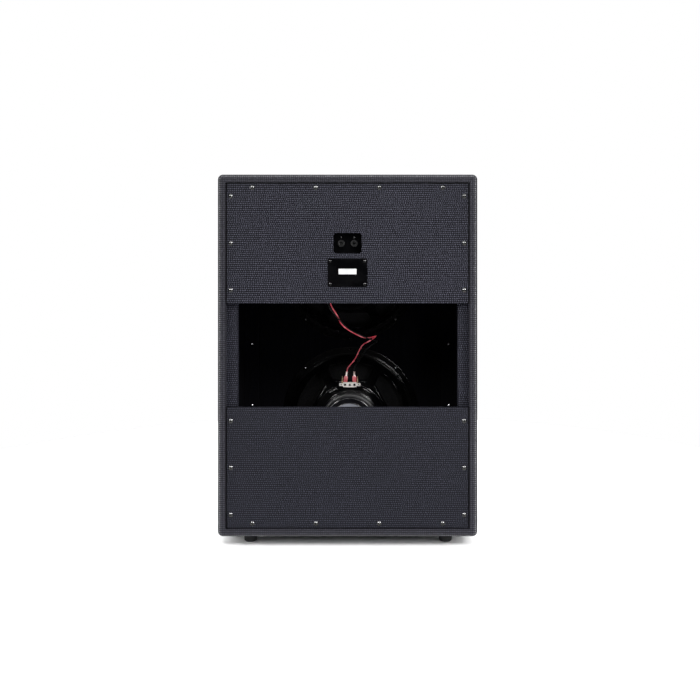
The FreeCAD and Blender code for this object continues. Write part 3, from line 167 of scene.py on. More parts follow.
class Look(NodeTree):
    """A material with one principled shader."""

    def __init__(self, name, colour, roughness, metallic=0.0, specular=0.5):
        self.material = bpy.data.materials.new(name)
        self.material.use_nodes = True
        super().__init__(self.material.node_tree)
        self.shader = self.tree.nodes["Principled BSDF"]
        self.set("Base Color", opaque(colour))
        self.set("Roughness", roughness)
        self.set("Metallic", metallic)
        self.set("Specular IOR Level", specular)

    def set(self, socket, value):
        self.join(self.shader.inputs[socket], value)

    def place(self):
        return self.add("ShaderNodeTexCoord").outputs["Object"]

    def stretch(self, vector, scales):
        return self.add("ShaderNodeVectorMath", vector, scales, operation="MULTIPLY").outputs[0]

    def noise(self, vector, scale=1.0, detail=2.0):
        return self.add("ShaderNodeTexNoise", vector, 0.0, scale, detail).outputs[0]

    def wave(self, value, pitch):
        turn = self.math("MULTIPLY", value, 2 * math.pi / pitch)
        return self.math("SINE", turn)

    def bump(self, height, depth, edge=0.0):
        """Relief of a height, on edges that are rounded to a radius."""
        node = self.add("ShaderNodeBump")
        self.join(node.inputs["Height"], height)
        node.inputs["Distance"].default_value = depth
        if edge:
            soft = self.add("ShaderNodeBevel", edge, samples=BEVEL_SAMPLES)
            self.join(node.inputs["Normal"], soft.outputs[0])
        self.set("Normal", node.outputs[0])

    def wear(self, colour, roughness, wear):
        marks = self.ramp(self.noise(self.place(), wear.scale, wear.detail), wear.start, wear.end)
        lighter = lightened(colour, wear.gain, wear.lift)
        self.set("Base Color", self.shade(self.math("MULTIPLY", marks, wear.share), colour, lighter))
        self.set("Roughness", self.ramp(marks, 0.0, 1.0, roughness, min(1.0, roughness + wear.rougher)))

    def sides_faced(self):
        """How much the surface faces along X, Y and Z, each from 0 to 1."""
        normal = self.split(self.add("ShaderNodeTexCoord").outputs["Normal"])
        return [self.math("ABSOLUTE", part) for part in normal]

    def cloth_axes(self):
        """Two coordinates along the surface, chosen by the way that it faces."""
        x, y, z = self.split(self.place())
        nx, ny, nz = self.sides_faced()
        faces_x = self.math("GREATER_THAN", nx, self.math("MAXIMUM", ny, nz))
        faces_z = self.math("GREATER_THAN", nz, self.math("MAXIMUM", nx, ny))
        return self.pick(faces_x, x, y), self.pick(faces_z, z, y)

    def rounding(self):
        """1 where the surface turns from the front or back to another side of the box, 0 where it is flat;
        this places the painted edge shading.
        """
        nx, ny, nz = self.sides_faced()
        most = self.math("MAXIMUM", nx, self.math("MAXIMUM", ny, nz))
        return self.math("MULTIPLY", self.ramp(most, *ROUND_RAMP), self.ramp(ny, *REAR_RAMP))

    def seam(self, low, high, width):
        """1 within a width of the sides of a panel that spans x and z between two corners, where painted
        shade goes.
        """
        x, _, z = self.split(self.place())
        near = self.math("MINIMUM", self.math("SUBTRACT", x, low.x), self.math("SUBTRACT", high.x, x))
        near = self.math("MINIMUM", near, self.math("SUBTRACT", z, low.z))
        near = self.math("MINIMUM", near, self.math("SUBTRACT", high.z, z))
        return self.math("LESS_THAN", near, width)

    def out_of_step(self, along, across, cell, drift):
        """The first coordinate, with each row of cells moved along it by a chance amount."""
        row = self.math("MULTIPLY", self.math("FLOOR", self.math("DIVIDE", across, cell)), ROW_STEP)
        stretch = self.math("DIVIDE", along, ROW_LENGTH * cell)
        chance = self.noise(self.add("ShaderNodeCombineXYZ", stretch, row).outputs[0], detail=0.0)
        shift = self.ramp(chance, 0.0, 1.0, -drift * cell, drift * cell)
        return self.math("ADD", along, shift)

    def thread(self, along, across, length, width):
        """Noise drawn out along one axis, as the uneven tone of a thread."""
        node = self.add("ShaderNodeCombineXYZ", self.math("DIVIDE", along, length),
                        self.math("DIVIDE", across, width))
        return self.noise(node.outputs[0], detail=1.0)


# Kinds of material: noise scales are per metre; a ramp has its start and end, then its results there

# Width of the band of painted shade along a panel's sides
GAP_SHADE_WIDTH = 1.5 * MM
# How far the rows of a drifting weave waver, in cells
WAVER = 0.4
WAVER_SCALE = 22.0
# Where strands cross, and where a cell rises out of the gap beside it and above it, in shares of its wave
CROSSING_SHARE = 0.15
BESIDE_RAMP = (0.25, 0.75)
ABOVE_RAMP = (0.30, 0.90)
# Tones of a strand from its edge to its crest, darker at the edge as painted shade; along its length; of
# upright strands, darker as painted shade; and over the whole cloth
STRAND_RAMP = (0.0, 0.8, 0.45, 1.0)
THREAD_RAMP = (0.32, 0.68, 0.62, 1.0)
THREAD_CELLS = 3
UPRIGHT_SHADE = 0.85
PATCH_SCALE = 6.0
PATCH_RAMP = (0.3, 0.7, 0.90, 1.0)
GAP_ROUGHER = 0.15
STRAND_SMOOTHER = 0.08


def woven(name, dark, light, cell, strands, roughness, specular, depth, painted_edge_shading=None, drift=0.0, panel=None):
    """A basket weave: square cells of strands that run by turns across and up, with dark gaps between them,
    whose darkness is painted shade, as are the darker edges of the strands and the darker upright strands.

    On rounded edges the strands may take painted edge shading, whose colour makes it a painted highlight or a
    painted shade. The rows may drift out of step by a number of cells.
    A panel's two corners give it a band of painted shade along its sides, in the edge shading's colour, where
    it meets the gap.
    """
    look = Look(name, dark, roughness, specular=specular)
    u, v = look.cloth_axes()
    if drift:
        waver = look.noise(look.place(), WAVER_SCALE, detail=1.0)
        v = look.math("ADD", v, look.ramp(waver, 0.0, 1.0, -WAVER * cell, WAVER * cell))
        u = look.out_of_step(u, v, cell, drift)
    side, rise = look.wave(u, 2 * cell), look.wave(v, 2 * cell)
    over = look.ramp(look.math("MULTIPLY", side, rise), -CROSSING_SHARE, CROSSING_SHARE)
    ridge = look.math("MULTIPLY", look.ramp(look.math("ABSOLUTE", side), *BESIDE_RAMP),
                      look.ramp(look.math("ABSOLUTE", rise), *ABOVE_RAMP))
    across = look.math("ABSOLUTE", look.wave(v, 2 * cell / strands))
    upward = look.math("ABSOLUTE", look.wave(u, 2 * cell / strands))
    strand = look.ramp(look.pick(over, upward, across), *STRAND_RAMP)
    relief = look.math("MULTIPLY", ridge, strand)
    weft = look.thread(u, v, THREAD_CELLS * cell, cell)
    warp = look.thread(v, u, THREAD_CELLS * cell, cell)
    uneven = look.ramp(look.pick(over, warp, weft), *THREAD_RAMP)
    # Painted shade: the tone darkens the gaps, the strands' edges and the upright strands
    tone = look.math("MULTIPLY", look.math("MULTIPLY", relief, uneven),
                     look.ramp(over, 0.0, 1.0, UPRIGHT_SHADE, 1.0))
    patch = look.ramp(look.noise(look.place(), PATCH_SCALE, detail=3.0), *PATCH_RAMP)
    strength = look.math("MULTIPLY", tone, patch)
    cover = look.shade(strength, dark, light)
    # Painted edge shading on rounded edges: a highlight or a shade, by its colour
    if painted_edge_shading:
        cover = look.shade(look.rounding(), cover, look.shade(strength, dark, painted_edge_shading))
    # Painted shade in a band along a panel's sides, by the gap
    if panel:
        cover = look.shade(look.seam(*panel, GAP_SHADE_WIDTH), cover, painted_edge_shading)
    look.set("Base Color", cover)
    in_gap, on_strand = min(1.0, roughness + GAP_ROUGHER), roughness - STRAND_SMOOTHER
    look.set("Roughness", look.ramp(tone, 0.0, 1.0, in_gap, on_strand))
    look.bump(relief, depth)
    return look.material


SCUFFS = Wear(scale=22.0, detail=5.0, start=0.45, end=0.75, gain=1.6, lift=0.006, share=0.5, rougher=0.12)
HANDLING = Wear(scale=35.0, detail=6.0, start=0.40, end=0.75, gain=1.35, lift=0.003, share=0.55, rougher=0.10)
PEEL_DEPTH = 0.02 * MM


def moulded(name, colour, roughness, specular, scale=900.0, depth=0.12 * MM):
    """Plastic or rubber with a fine moulded grain and faint scuffs."""
    look = Look(name, colour, roughness, specular=specular)
    look.wear(colour, roughness, SCUFFS)
    look.bump(look.noise(look.place(), scale), depth)
    return look.material


def metal(name, colour, roughness, metallic=1.0, specular=0.5, scale=160.0, edge=0.0):
    """Painted or plated metal with a slight orange peel, handling marks and softened edges."""
    look = Look(name, colour, roughness, metallic, specular)
    look.wear(colour, roughness, HANDLING)
    look.bump(look.noise(look.place(), scale, detail=3.0), PEEL_DEPTH, edge)
    return look.material


WOOD_GRAIN = (420.0, 420.0, 14.0)
WOOD_RAMP = (0.4, 0.7)
WOOD_DEPTH = 0.25 * MM


def painted_wood(name, colour, roughness):
    """Flat paint over plywood, whose grain runs along the height."""
    look = Look(name, colour, roughness, specular=0.02)
    grain = look.noise(look.stretch(look.place(), WOOD_GRAIN), detail=4.0)
    lighter = lightened(colour, gain=1.6, lift=0.0005)
    look.set("Base Color", look.shade(look.ramp(grain, *WOOD_RAMP), colour, lighter))
    look.bump(grain, WOOD_DEPTH)
    return look.material


PULP_FIBRES = (900.0, 900.0, 260.0)
PULP_RAMP = (0.45, 0.8)
PULP_DEPTH = 0.3 * MM
RIB_SHARE = 0.6


def pulp(name, colour, axis_z, rib_pitch):
    """Pressed paper pulp with fibres and faint ribs round a driver's axis."""
    look = Look(name, colour, roughness=0.85, specular=0.03)
    place = look.place()
    x, _, z = look.split(place)
    rise = look.math("SUBTRACT", z, axis_z)
    square = look.math("ADD", look.math("MULTIPLY", x, x), look.math("MULTIPLY", rise, rise))
    rib = look.wave(look.math("SQRT", square), rib_pitch)
    fibres = look.noise(look.stretch(place, PULP_FIBRES), detail=3.0)
    lighter = lightened(colour, gain=1.8, lift=0.003)
    look.set("Base Color", look.shade(look.ramp(fibres, *PULP_RAMP), colour, lighter))
    look.bump(look.math("ADD", look.math("MULTIPLY", rib, RIB_SHARE), fibres), PULP_DEPTH)
    return look.material


FLECK_SCALE = 700.0
FLECK_RAMP = (0.55, 0.72)
FLECK_DEPTH = 0.1 * MM


def pressed_board(name, colour, fleck):
    """Pressed board with darker flecks."""
    look = Look(name, colour, roughness=0.75, specular=0.2)
    flecks = look.ramp(look.noise(look.place(), FLECK_SCALE, detail=4.0), *FLECK_RAMP)
    look.set("Base Color", look.shade(flecks, colour, fleck))
    look.bump(flecks, FLECK_DEPTH)
    return look.material


SLEEVE_TONE_SCALE = 90.0
SLEEVE_TONE_RAMP = (0.35, 0.7)
SLEEVE_GRAIN_SCALE = 1500.0
SLEEVE_DEPTH = 0.05 * MM


def sleeve(name, colour, light, roughness, specular=0.5):
    """The soft plastic sleeve of a wire or terminal."""
    look = Look(name, colour, roughness, specular=specular)
    tone = look.ramp(look.noise(look.place(), SLEEVE_TONE_SCALE), *SLEEVE_TONE_RAMP)
    look.set("Base Color", look.shade(tone, colour, light))
    look.bump(look.noise(look.place(), SLEEVE_GRAIN_SCALE, detail=1.0), SLEEVE_DEPTH)
    return look.material


BRAID_DEPTH = 0.15 * MM


def braid(name, colour, light, pitch):
    """Braided strands that cross on the slant."""
    look = Look(name, colour, roughness=0.45, metallic=0.6)
    x, y, z = look.split(look.place())
    run = look.math("ADD", y, z)
    cross = look.math("MULTIPLY", look.wave(look.math("ADD", run, x), pitch),
                      look.wave(look.math("SUBTRACT", run, x), pitch))
    look.set("Base Color", look.shade(look.ramp(cross, -1.0, 1.0), colour, light))
    look.bump(cross, BRAID_DEPTH)
    return look.material


# The materials of this cabinet

def panel_span(node, open_side):
    """A back panel's two corners, moved away at the side that borders on the opening, down or up, so that the
    band of painted shade runs only along the other sides.
    """
    low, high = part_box(node)
    return low + Vector((0, 0, min(0, open_side))), high + Vector((0, 0, max(0, open_side)))


VINYL_WEAVE = dict(cell=4.15 * MM, strands=3, roughness=0.50, specular=0.03, depth=0.4 * MM)
# Panels and cleats take painted shade on their rounded edges, and panels a band of it along their sides
PANEL_WEAVE = dict(VINYL_WEAVE, painted_edge_shading=(0.0012, 0.0012, 0.0020), drift=1.2)
# Tones of the gaps and of the strands
UPPER_TONES = ((0.0005, 0.0006, 0.0020), (0.070, 0.071, 0.095))
LOWER_TONES = ((0.0045, 0.0046, 0.0062), (0.039, 0.040, 0.056))
# The covering's rounded rear edges take a painted highlight
VINYL = woven("woven_vinyl", (0.008, 0.008, 0.010), (0.066, 0.065, 0.082), **VINYL_WEAVE,
              painted_edge_shading=(0.210, 0.208, 0.225))
CLEAT_VINYL = woven("cleat_vinyl", *UPPER_TONES, **PANEL_WEAVE)
UPPER_VINYL = woven("upper_panel_vinyl", *UPPER_TONES, **PANEL_WEAVE,
                    panel=panel_span("upper_panel_vinyl", -1))
LOWER_VINYL = woven("lower_panel_vinyl", *LOWER_TONES, **PANEL_WEAVE,
                    panel=panel_span("lower_panel_vinyl", 1))
CLOTH = woven("grille_weave", (0.0015, 0.0015, 0.0018), (0.050, 0.050, 0.055), cell=2.4 * MM, strands=2,
              roughness=0.85, specular=0.08, depth=0.5 * MM)
TREATED = woven("treated_cloth", (0.012, 0.010, 0.008), (0.060, 0.050, 0.038), cell=1.1 * MM, strands=1,
                roughness=0.6, specular=0.3, depth=0.1 * MM)
SPIDER = woven("spider_cloth", (0.30, 0.21, 0.08), (0.62, 0.48, 0.24), cell=1.2 * MM, strands=1,
               roughness=0.7, specular=0.3, depth=0.1 * MM)
HOOKS = woven("hook_and_loop", (0.004, 0.004, 0.004), (0.03, 0.03, 0.03), cell=1.6 * MM, strands=1,
              roughness=0.9, specular=0.1, depth=0.6 * MM)

BLACK_WOOD = painted_wood("black_paint_on_wood", (0.0008, 0.0008, 0.0018), roughness=0.85)
BLACK_PLASTIC = moulded("black_plastic", (0.0060, 0.0060, 0.0068), roughness=0.42, specular=0.14)
GLOSS_PLASTIC = moulded("gloss_plastic", (0.0030, 0.0030, 0.0034), roughness=0.18, specular=0.75,
                        scale=500.0, depth=0.03 * MM)
RUBBER = moulded("foot_rubber", (0.007, 0.007, 0.0075), roughness=0.75, specular=0.25,
                 scale=500.0, depth=0.2 * MM)
PIPING = moulded("piping_cord", (0.012, 0.012, 0.014), roughness=0.45, specular=0.4)

SCREW_BLACK = dict(colour=(0.0015, 0.0015, 0.0018), roughness=0.10, metallic=0.0)
FRAME_GLOSS = dict(roughness=0.07, metallic=0.0, edge=1.0 * MM)
PAINT_BLACK = (0.0012, 0.0012, 0.0015)
BLACK_SCREW = metal("black_screw", **SCREW_BLACK, specular=0.40)
PLATE_SCREW = metal("plate_screw", **SCREW_BLACK, specular=0.14)
BOLT_STEEL = metal("bolt_steel", (0.09, 0.09, 0.095), roughness=0.14)
ZINC = metal("zinc_plate", (0.55, 0.55, 0.53), roughness=0.34)
FRAME_PAINT = metal("frame_paint", PAINT_BLACK, **FRAME_GLOSS, specular=0.28)
# Painted shade: the upper frame is the same paint as the lower one, painted darker and with less gloss so
# that it stays dark
SHADED_FRAME_PAINT = metal("shaded_frame_paint", (0.0008, 0.0008, 0.0010), **FRAME_GLOSS, specular=0.06)
PLATE_PAINT = metal("plate_paint", PAINT_BLACK, roughness=0.60, metallic=0.0, specular=0.0, edge=0.4 * MM)
MOTOR_PAINT = metal("motor_paint", (0.0050, 0.0050, 0.0064), roughness=0.16, metallic=0.0, specular=0.32,
                    edge=1.2 * MM)
FERRITE = metal("ferrite", (0.0050, 0.0050, 0.0056), roughness=0.30, metallic=0.0, scale=350.0, edge=0.8 * MM)
COPPER = metal("copper_winding", (0.72, 0.30, 0.14), roughness=0.3)
BARE_DISC = metal("bare_disc", (0.17, 0.18, 0.215), roughness=0.45, metallic=0.0)

BOARD = pressed_board("fibre_board", (0.74, 0.71, 0.67), (0.25, 0.22, 0.19))
GASKET = pressed_board("gasket_card", (0.020, 0.016, 0.012), (0.008, 0.007, 0.006))
STICKER = pressed_board("blank_sticker", (0.54, 0.54, 0.55), (0.47, 0.47, 0.48))
RED = sleeve("red_sleeve", (0.70, 0.045, 0.080), (0.94, 0.220, 0.260), roughness=0.16, specular=0.9)
BLACK = sleeve("black_sleeve", (0.0018, 0.0018, 0.0020), (0.004, 0.004, 0.0045), roughness=0.40,
               specular=0.15)
PINK = sleeve("terminal_sleeve", (0.62, 0.10, 0.12), (0.78, 0.26, 0.27), roughness=0.25)
PALE = sleeve("terminal_barrel", (0.72, 0.50, 0.46), (0.86, 0.74, 0.70), roughness=0.25)
TINSEL = braid("tinsel_braid", (0.16, 0.10, 0.055), (0.45, 0.33, 0.20), pitch=1.2 * MM)

NODE_LOOKS = {
    "vinyl_covering": VINYL, "rear_cleats": CLEAT_VINYL, "upper_panel_vinyl": UPPER_VINYL,
    "lower_panel_vinyl": LOWER_VINYL,
    "top_panel": BLACK_WOOD, "bottom_panel": BLACK_WOOD, "left_side_panel": BLACK_WOOD,
    "right_side_panel": BLACK_WOOD, "upper_back_panel": BLACK_WOOD, "lower_back_panel": BLACK_WOOD,
    "baffle_board": BLACK_WOOD, "baffle_cleats": BLACK_WOOD, "grille_frame": BLACK_WOOD,
    "grille_cloth": CLOTH, "grille_piping": PIPING, "grille_fasteners": HOOKS,
    "back_panel_screws": BLACK_SCREW, "baffle_screws": BOLT_STEEL, "handle_screws": BLACK_SCREW,
    "plate_screws": PLATE_SCREW, "driver_bolts": BOLT_STEEL, "foot_screws": ZINC, "tee_nuts": ZINC,
    "jack_nuts": GLOSS_PLASTIC, "jack_plate": PLATE_PAINT, "rating_plate": PLATE_PAINT,
    "left_jack": GLOSS_PLASTIC, "right_jack": GLOSS_PLASTIC, "left_handle": BLACK_PLASTIC,
    "right_handle": BLACK_PLASTIC, "rubber_feet": RUBBER, "crimp_terminals": PINK,
}
DRIVER_LOOKS = {
    "frame": FRAME_PAINT, "gasket": GASKET, "top_plate": ZINC, "magnet": FERRITE, "back_plate": MOTOR_PAINT,
    "voice_coil": COPPER, "surround": TREATED, "spider": SPIDER, "terminal_board": BOARD,
    "tinsel_leads": TINSEL, "red_wire": RED, "black_wire": BLACK,
}
CONE_BLACK, CONE_RIB_PITCH = (0.0050, 0.0050, 0.0056), 16 * MM
CAP_BLACK, CAP_RIB_PITCH = (0.009, 0.0088, 0.0085), 500 * MM


def dress_nodes():
    looks = dict(NODE_LOOKS)
    for level in LEVELS:
        looks.update({f"{level}_{piece}": look for piece, look in DRIVER_LOOKS.items()})
        looks[f"{level}_cone"] = pulp(f"{level}_cone_pulp", CONE_BLACK, DRIVER_Z[level], CONE_RIB_PITCH)
        looks[f"{level}_dust_cap"] = pulp(f"{level}_cap_pulp", CAP_BLACK, DRIVER_Z[level], CAP_RIB_PITCH)
    # The upper frame gets the darker, duller copy of the frame paint, as painted shade
    looks["upper_frame"] = SHADED_FRAME_PAINT
    for name, thing in NODES.items():
        for slot in thing.material_slots:
            slot.material = looks[name]


# Pieces

# Edges that turn by more than these degrees stay sharp
CREASE, FINE_CREASE, SOFT_CREASE = 40, 35, 60
WELD_DISTANCE = MM / 1000
SORT_DIGITS = 4


def add_piece(name, mesh, look, body=CABINET):
    piece = bpy.data.objects.new(name, mesh)
    bpy.context.collection.objects.link(piece)
    piece.data.materials.append(look)
    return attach(piece, body) if body else piece


def finish_mesh(bm, name, crease=CREASE):
    """The mesh of a finished bmesh, smooth but for its sharper edges."""
    bmesh.ops.recalc_face_normals(bm, faces=bm.faces[:])
    mesh = bpy.data.meshes.new(name)
    bm.to_mesh(mesh)
    bm.free()
    mesh.shade_smooth()
    mesh.set_sharp_from_angle(angle=math.radians(crease))
    return mesh


def solids_of(node):
    """The lowest and highest corner of each separate solid of a CAD node."""
    bm = bmesh.new()
    bm.from_mesh(NODES[node].data)
    bmesh.ops.remove_doubles(bm, verts=bm.verts[:], dist=WELD_DISTANCE)
    left = set(bm.verts)
    boxes = []
    while left:
        reached = [left.pop()]
        for vertex in reached:
            for edge in vertex.link_edges:
                other = edge.other_vert(vertex)
                if other in left:
                    left.remove(other)
                    reached.append(other)
        corners = [vertex.co for vertex in reached]
        boxes.append((Vector(map(min, zip(*corners))), Vector(map(max, zip(*corners)))))
    bm.free()
    return sorted(boxes, key=lambda box: tuple(round(part, SORT_DIGITS) for part in box[0]))


def terminal_strip(level):
    """The corners of a terminal board's strip, the widest of its solids."""
    return max(solids_of(f"{level}_terminal_board"), key=lambda box: box[1].x - box[0].x)


def ring_of(bm, radius, height, count):
    turns = [2 * math.pi * step / count for step in range(count)]
    return [bm.verts.new((radius * math.cos(turn), radius * math.sin(turn), height)) for turn in turns]


def wall(bm, low, high):
    """Faces between two loops with as many points."""
    count = len(low)
    for index in range(count):
        after = (index + 1) % count
        bm.faces.new((low[index], low[after], high[after], high[index]))


def walls(bm, loops):
    for low, high in zip(loops, loops[1:]):
        wall(bm, low, high)


def close_ends(bm, loops):
    bm.faces.new(loops[0])
    bm.faces.new(loops[-1])


def facing(direction, spin=0):
    """A turn that points +Z along a direction, after a spin about it."""
    return direction.to_track_quat("Z", "Y").to_matrix().to_4x4() @ Matrix.Rotation(spin, 4, "Z")


def scattered(name, mesh, places, look):
    """Copies of a mesh at the given matrices, as one piece."""
    bm = bmesh.new()
    for place in places:
        start = len(bm.verts)
        bm.from_mesh(mesh)
        bm.verts.ensure_lookup_table()
        bmesh.ops.transform(bm, matrix=place, verts=bm.verts[start:])
    return add_piece(name, finish_mesh(bm, name, FINE_CREASE), look)


# Screws with a cross recess, in place of the plain ones

class Screw(NamedTuple):
    """A pan-head screw; side_share is the part of its head's height that is below the dome."""
    head_radius: float
    head_height: float
    shank_radius: float
    length: float
    side_share: float


WOOD_SCREW = Screw(4.6 * MM, 2.4 * MM, 2.0 * MM, 26 * MM, 0.22)
SMALL_SCREW = Screw(2.6 * MM, 1.2 * MM, 1.2 * MM, 8 * MM, 0.42)
BOLT = Screw(4.4 * MM, 3.0 * MM, 2.4 * MM, 17 * MM, 0.42)
HEAD_SEGMENTS = 36
DOME_SHARES = (1.0, 0.97, 0.90, 0.80, 0.70, 0.60, 0.52)
CROSS_REACH_SHARE = 0.44
CROSS_WIDTH_SHARE = 0.13
CROSS_DEPTH_SHARE = 0.62
CROSS_FLOOR_SHARE = 0.55
CHANCE = random.Random(7)


def cross_outline(reach, width):
    """Twelve points round a cross, anticlockwise."""
    arm = [(reach, -width), (reach, width), (width, width)]
    return [(x * math.cos(turn) - y * math.sin(turn), x * math.sin(turn) + y * math.cos(turn))
            for turn in (math.radians(90 * step) for step in range(4)) for x, y in arm]


def screw_mesh(screw):
    """A screw with its seat at zero, its head along +Z and its shank along -Z."""
    bm = bmesh.new()
    radius, height = screw.head_radius, screw.head_height
    side = height * screw.side_share
    rings = [ring_of(bm, radius, 0, HEAD_SEGMENTS)]
    rings += [ring_of(bm, radius * share, side + (height - side) * (1 - share ** 2), HEAD_SEGMENTS)
              for share in DOME_SHARES]
    walls(bm, rings)
    neck = ring_of(bm, screw.shank_radius, 0, HEAD_SEGMENTS)
    wall(bm, neck, rings[0])
    end = ring_of(bm, screw.shank_radius, -screw.length, HEAD_SEGMENTS)
    wall(bm, end, neck)
    bm.faces.new(end)
    outline = cross_outline(radius * CROSS_REACH_SHARE, radius * CROSS_WIDTH_SHARE)
    lip = [bm.verts.new((x, y, side + (height - side) * (1 - (x * x + y * y) / radius ** 2)))
           for x, y in outline]
    floor = [bm.verts.new((x * CROSS_FLOOR_SHARE, y * CROSS_FLOOR_SHARE, height * (1 - CROSS_DEPTH_SHARE)))
             for x, y in outline]
    wall(bm, lip, floor)
    bm.faces.new(floor)
    rim = [bm.edges.get(pair) for loop in (rings[-1], lip) for pair in zip(loop, loop[1:] + loop[:1])]
    bmesh.ops.triangle_fill(bm, use_beauty=True, edges=rim, normal=(0, 0, 1))
    return finish_mesh(bm, "screw", FINE_CREASE)


def screw_place(low, high, way, head_height):
    """Where a screw between two corners has its seat, spun by a chance angle."""
    middle = (low + high) / 2
    tip = Vector([high[axis] if way[axis] > 0 else low[axis] if way[axis] < 0 else middle[axis]
                  for axis in range(3)])
    spin = CHANCE.uniform(0, math.pi / 2)
    return Matrix.Translation(tip - way * head_height) @ facing(way, spin)


def rearward(middle):
    return TO_REAR


def outward(middle):
    """To the nearer side of the box."""
    return Vector((math.copysign(1, middle.x), 0, 0))


def plate_screw_way(middle):
    """Rating plate screws have their heads at the rear, and jack plate screws inside the box."""
    plate_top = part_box("rating_plate")[1].z
    return TO_REAR if middle.z < plate_top else -TO_REAR


def make_screws():
    meshes = {screw: screw_mesh(screw) for screw in (WOOD_SCREW, SMALL_SCREW, BOLT)}
    jobs = [("back_panel_screws", WOOD_SCREW, rearward),
            ("baffle_screws", WOOD_SCREW, rearward),
            ("driver_bolts", BOLT, rearward),
            ("handle_screws", WOOD_SCREW, outward),
            ("plate_screws", SMALL_SCREW, plate_screw_way)]
    for node, screw, way in jobs:
        places = [screw_place(low, high, way((low + high) / 2), screw.head_height)
                  for low, high in solids_of(node)]
        piece = scattered(f"cross_head_{node}", meshes[screw], places, NODE_LOOKS[node])
        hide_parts(node)


# Sticker, numerals, bare discs and eyelets

STICKER_SIZE = (36 * MM, 11 * MM)
STICKER_CORNER = 1.0 * MM
STICKER_RISE = 2.3 * MM
STICKER_THICKNESS = 0.15 * MM
CORNER_STEPS = 6
NUMERAL_HEIGHT = 3.4 * MM
NUMERAL_HEIGHT_SHARE = 0.72
NUMERAL_RISE = 12.5 * MM
NUMERAL_THICKNESS = 0.06 * MM
DISC_RADIUS = 42.5 * MM
DISC_SEGMENTS = 72
EYELET_PITCH = 21 * MM
# Each ring of an eyelet: its radius and its height over the board, in millimetres
EYELET_RINGS = [(2.6, 0), (2.6, 1.1), (2.3, 1.4), (1.5, 1.4), (1.2, 0.9)]


def rounded_plate(name, width, height, radius, thickness):
    """A thin plate with rounded corners, centred, its face along +Y."""
    bm = bmesh.new()
    outline = []
    for corner, (sx, sz) in enumerate(((1, 1), (-1, 1), (-1, -1), (1, -1))):
        for step in range(CORNER_STEPS + 1):
            turn = math.radians(90 * corner + 90 * step / CORNER_STEPS)
            outline.append((sx * (width / 2 - radius) + radius * math.cos(turn),
                            sz * (height / 2 - radius) + radius * math.sin(turn)))
    back = [bm.verts.new((x, 0, z)) for x, z in outline]
    face = [bm.verts.new((x, thickness, z)) for x, z in outline]
    wall(bm, back, face)
    close_ends(bm, (face, back))
    return finish_mesh(bm, name)


def make_sticker():
    low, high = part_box("rating_plate")
    mesh = rounded_plate("blank_sticker", *STICKER_SIZE, STICKER_CORNER, STICKER_THICKNESS)
    mesh.transform(Matrix.Translation(((low.x + high.x) / 2, high.y, (low.z + high.z) / 2 + STICKER_RISE)))
    add_piece("blank_sticker", mesh, STICKER)


def make_numerals():
    """A plain number over each jack."""
    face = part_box("jack_plate")[1].y
    for text, node in (("1", "right_jack"), ("2", "left_jack")):
        low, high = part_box(node)
        curve = bpy.data.curves.new(f"numeral_{text}", "FONT")
        curve.body = text
        curve.size = NUMERAL_HEIGHT / NUMERAL_HEIGHT_SHARE
        curve.align_x = "CENTER"
        curve.align_y = "CENTER"
        curve.extrude = NUMERAL_THICKNESS
        numeral = bpy.data.objects.new(f"numeral_{text}", curve)
        bpy.context.collection.objects.link(numeral)
        numeral.rotation_euler = SEEN_FROM_BEHIND
        numeral.location = ((low.x + high.x) / 2, face + NUMERAL_THICKNESS,
                            (low.z + high.z) / 2 + NUMERAL_RISE)
        curve.materials.append(STICKER)
        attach(numeral, CABINET)


def make_discs():
    """The light disc on the back of each magnet."""
    for level in LEVELS:
        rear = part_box(f"{level}_back_plate")[1].y
        bm = bmesh.new()
        low = ring_of(bm, DISC_RADIUS, 0, DISC_SEGMENTS)
        high = ring_of(bm, DISC_RADIUS, STICKER_THICKNESS, DISC_SEGMENTS)
        wall(bm, low, high)
        close_ends(bm, (high, low))
        mesh = finish_mesh(bm, f"{level}_magnet_disc")
        mesh.transform(Matrix.Translation((0, rear, DRIVER_Z[level])) @ facing(TO_REAR))
        add_piece(f"{level}_magnet_disc", mesh, BARE_DISC)


def make_eyelets():
    """The two eyelets that rivet the tabs to each terminal board, and the dark rivet between them."""
    bm = bmesh.new()
    rings = [ring_of(bm, radius * MM, height * MM, HEAD_SEGMENTS) for radius, height in EYELET_RINGS]
    walls(bm, rings)
    close_ends(bm, rings)
    eyelet = finish_mesh(bm, "eyelet")
    for level in LEVELS:
        low, high = terminal_strip(level)
        middle = Vector(((low.x + high.x) / 2, high.y, (low.z + high.z) / 2))
        for name, sides, look, slot in (("terminal_eyelets", (-1, 1), BOLT_STEEL, "zinc_steel"),
                                        ("board_rivet", (0,), PLATE_SCREW, "black_steel")):
            spots = [middle + Vector((side * EYELET_PITCH / 2, 0, 0)) for side in sides]
            places = [Matrix.Translation(spot) @ facing(TO_REAR) for spot in spots]
            scattered(f"{level}_{name}", eyelet, places, look)


# Crimp terminals: a flat sleeve over each tab and a round barrel round the wire's end

CRIMP_SEGMENTS = 32
CRIMP_REACH = 2 * MM
BARREL_TIP = Vector((0, 0, 23 * MM))
PHOTO_TILT = math.radians(8)
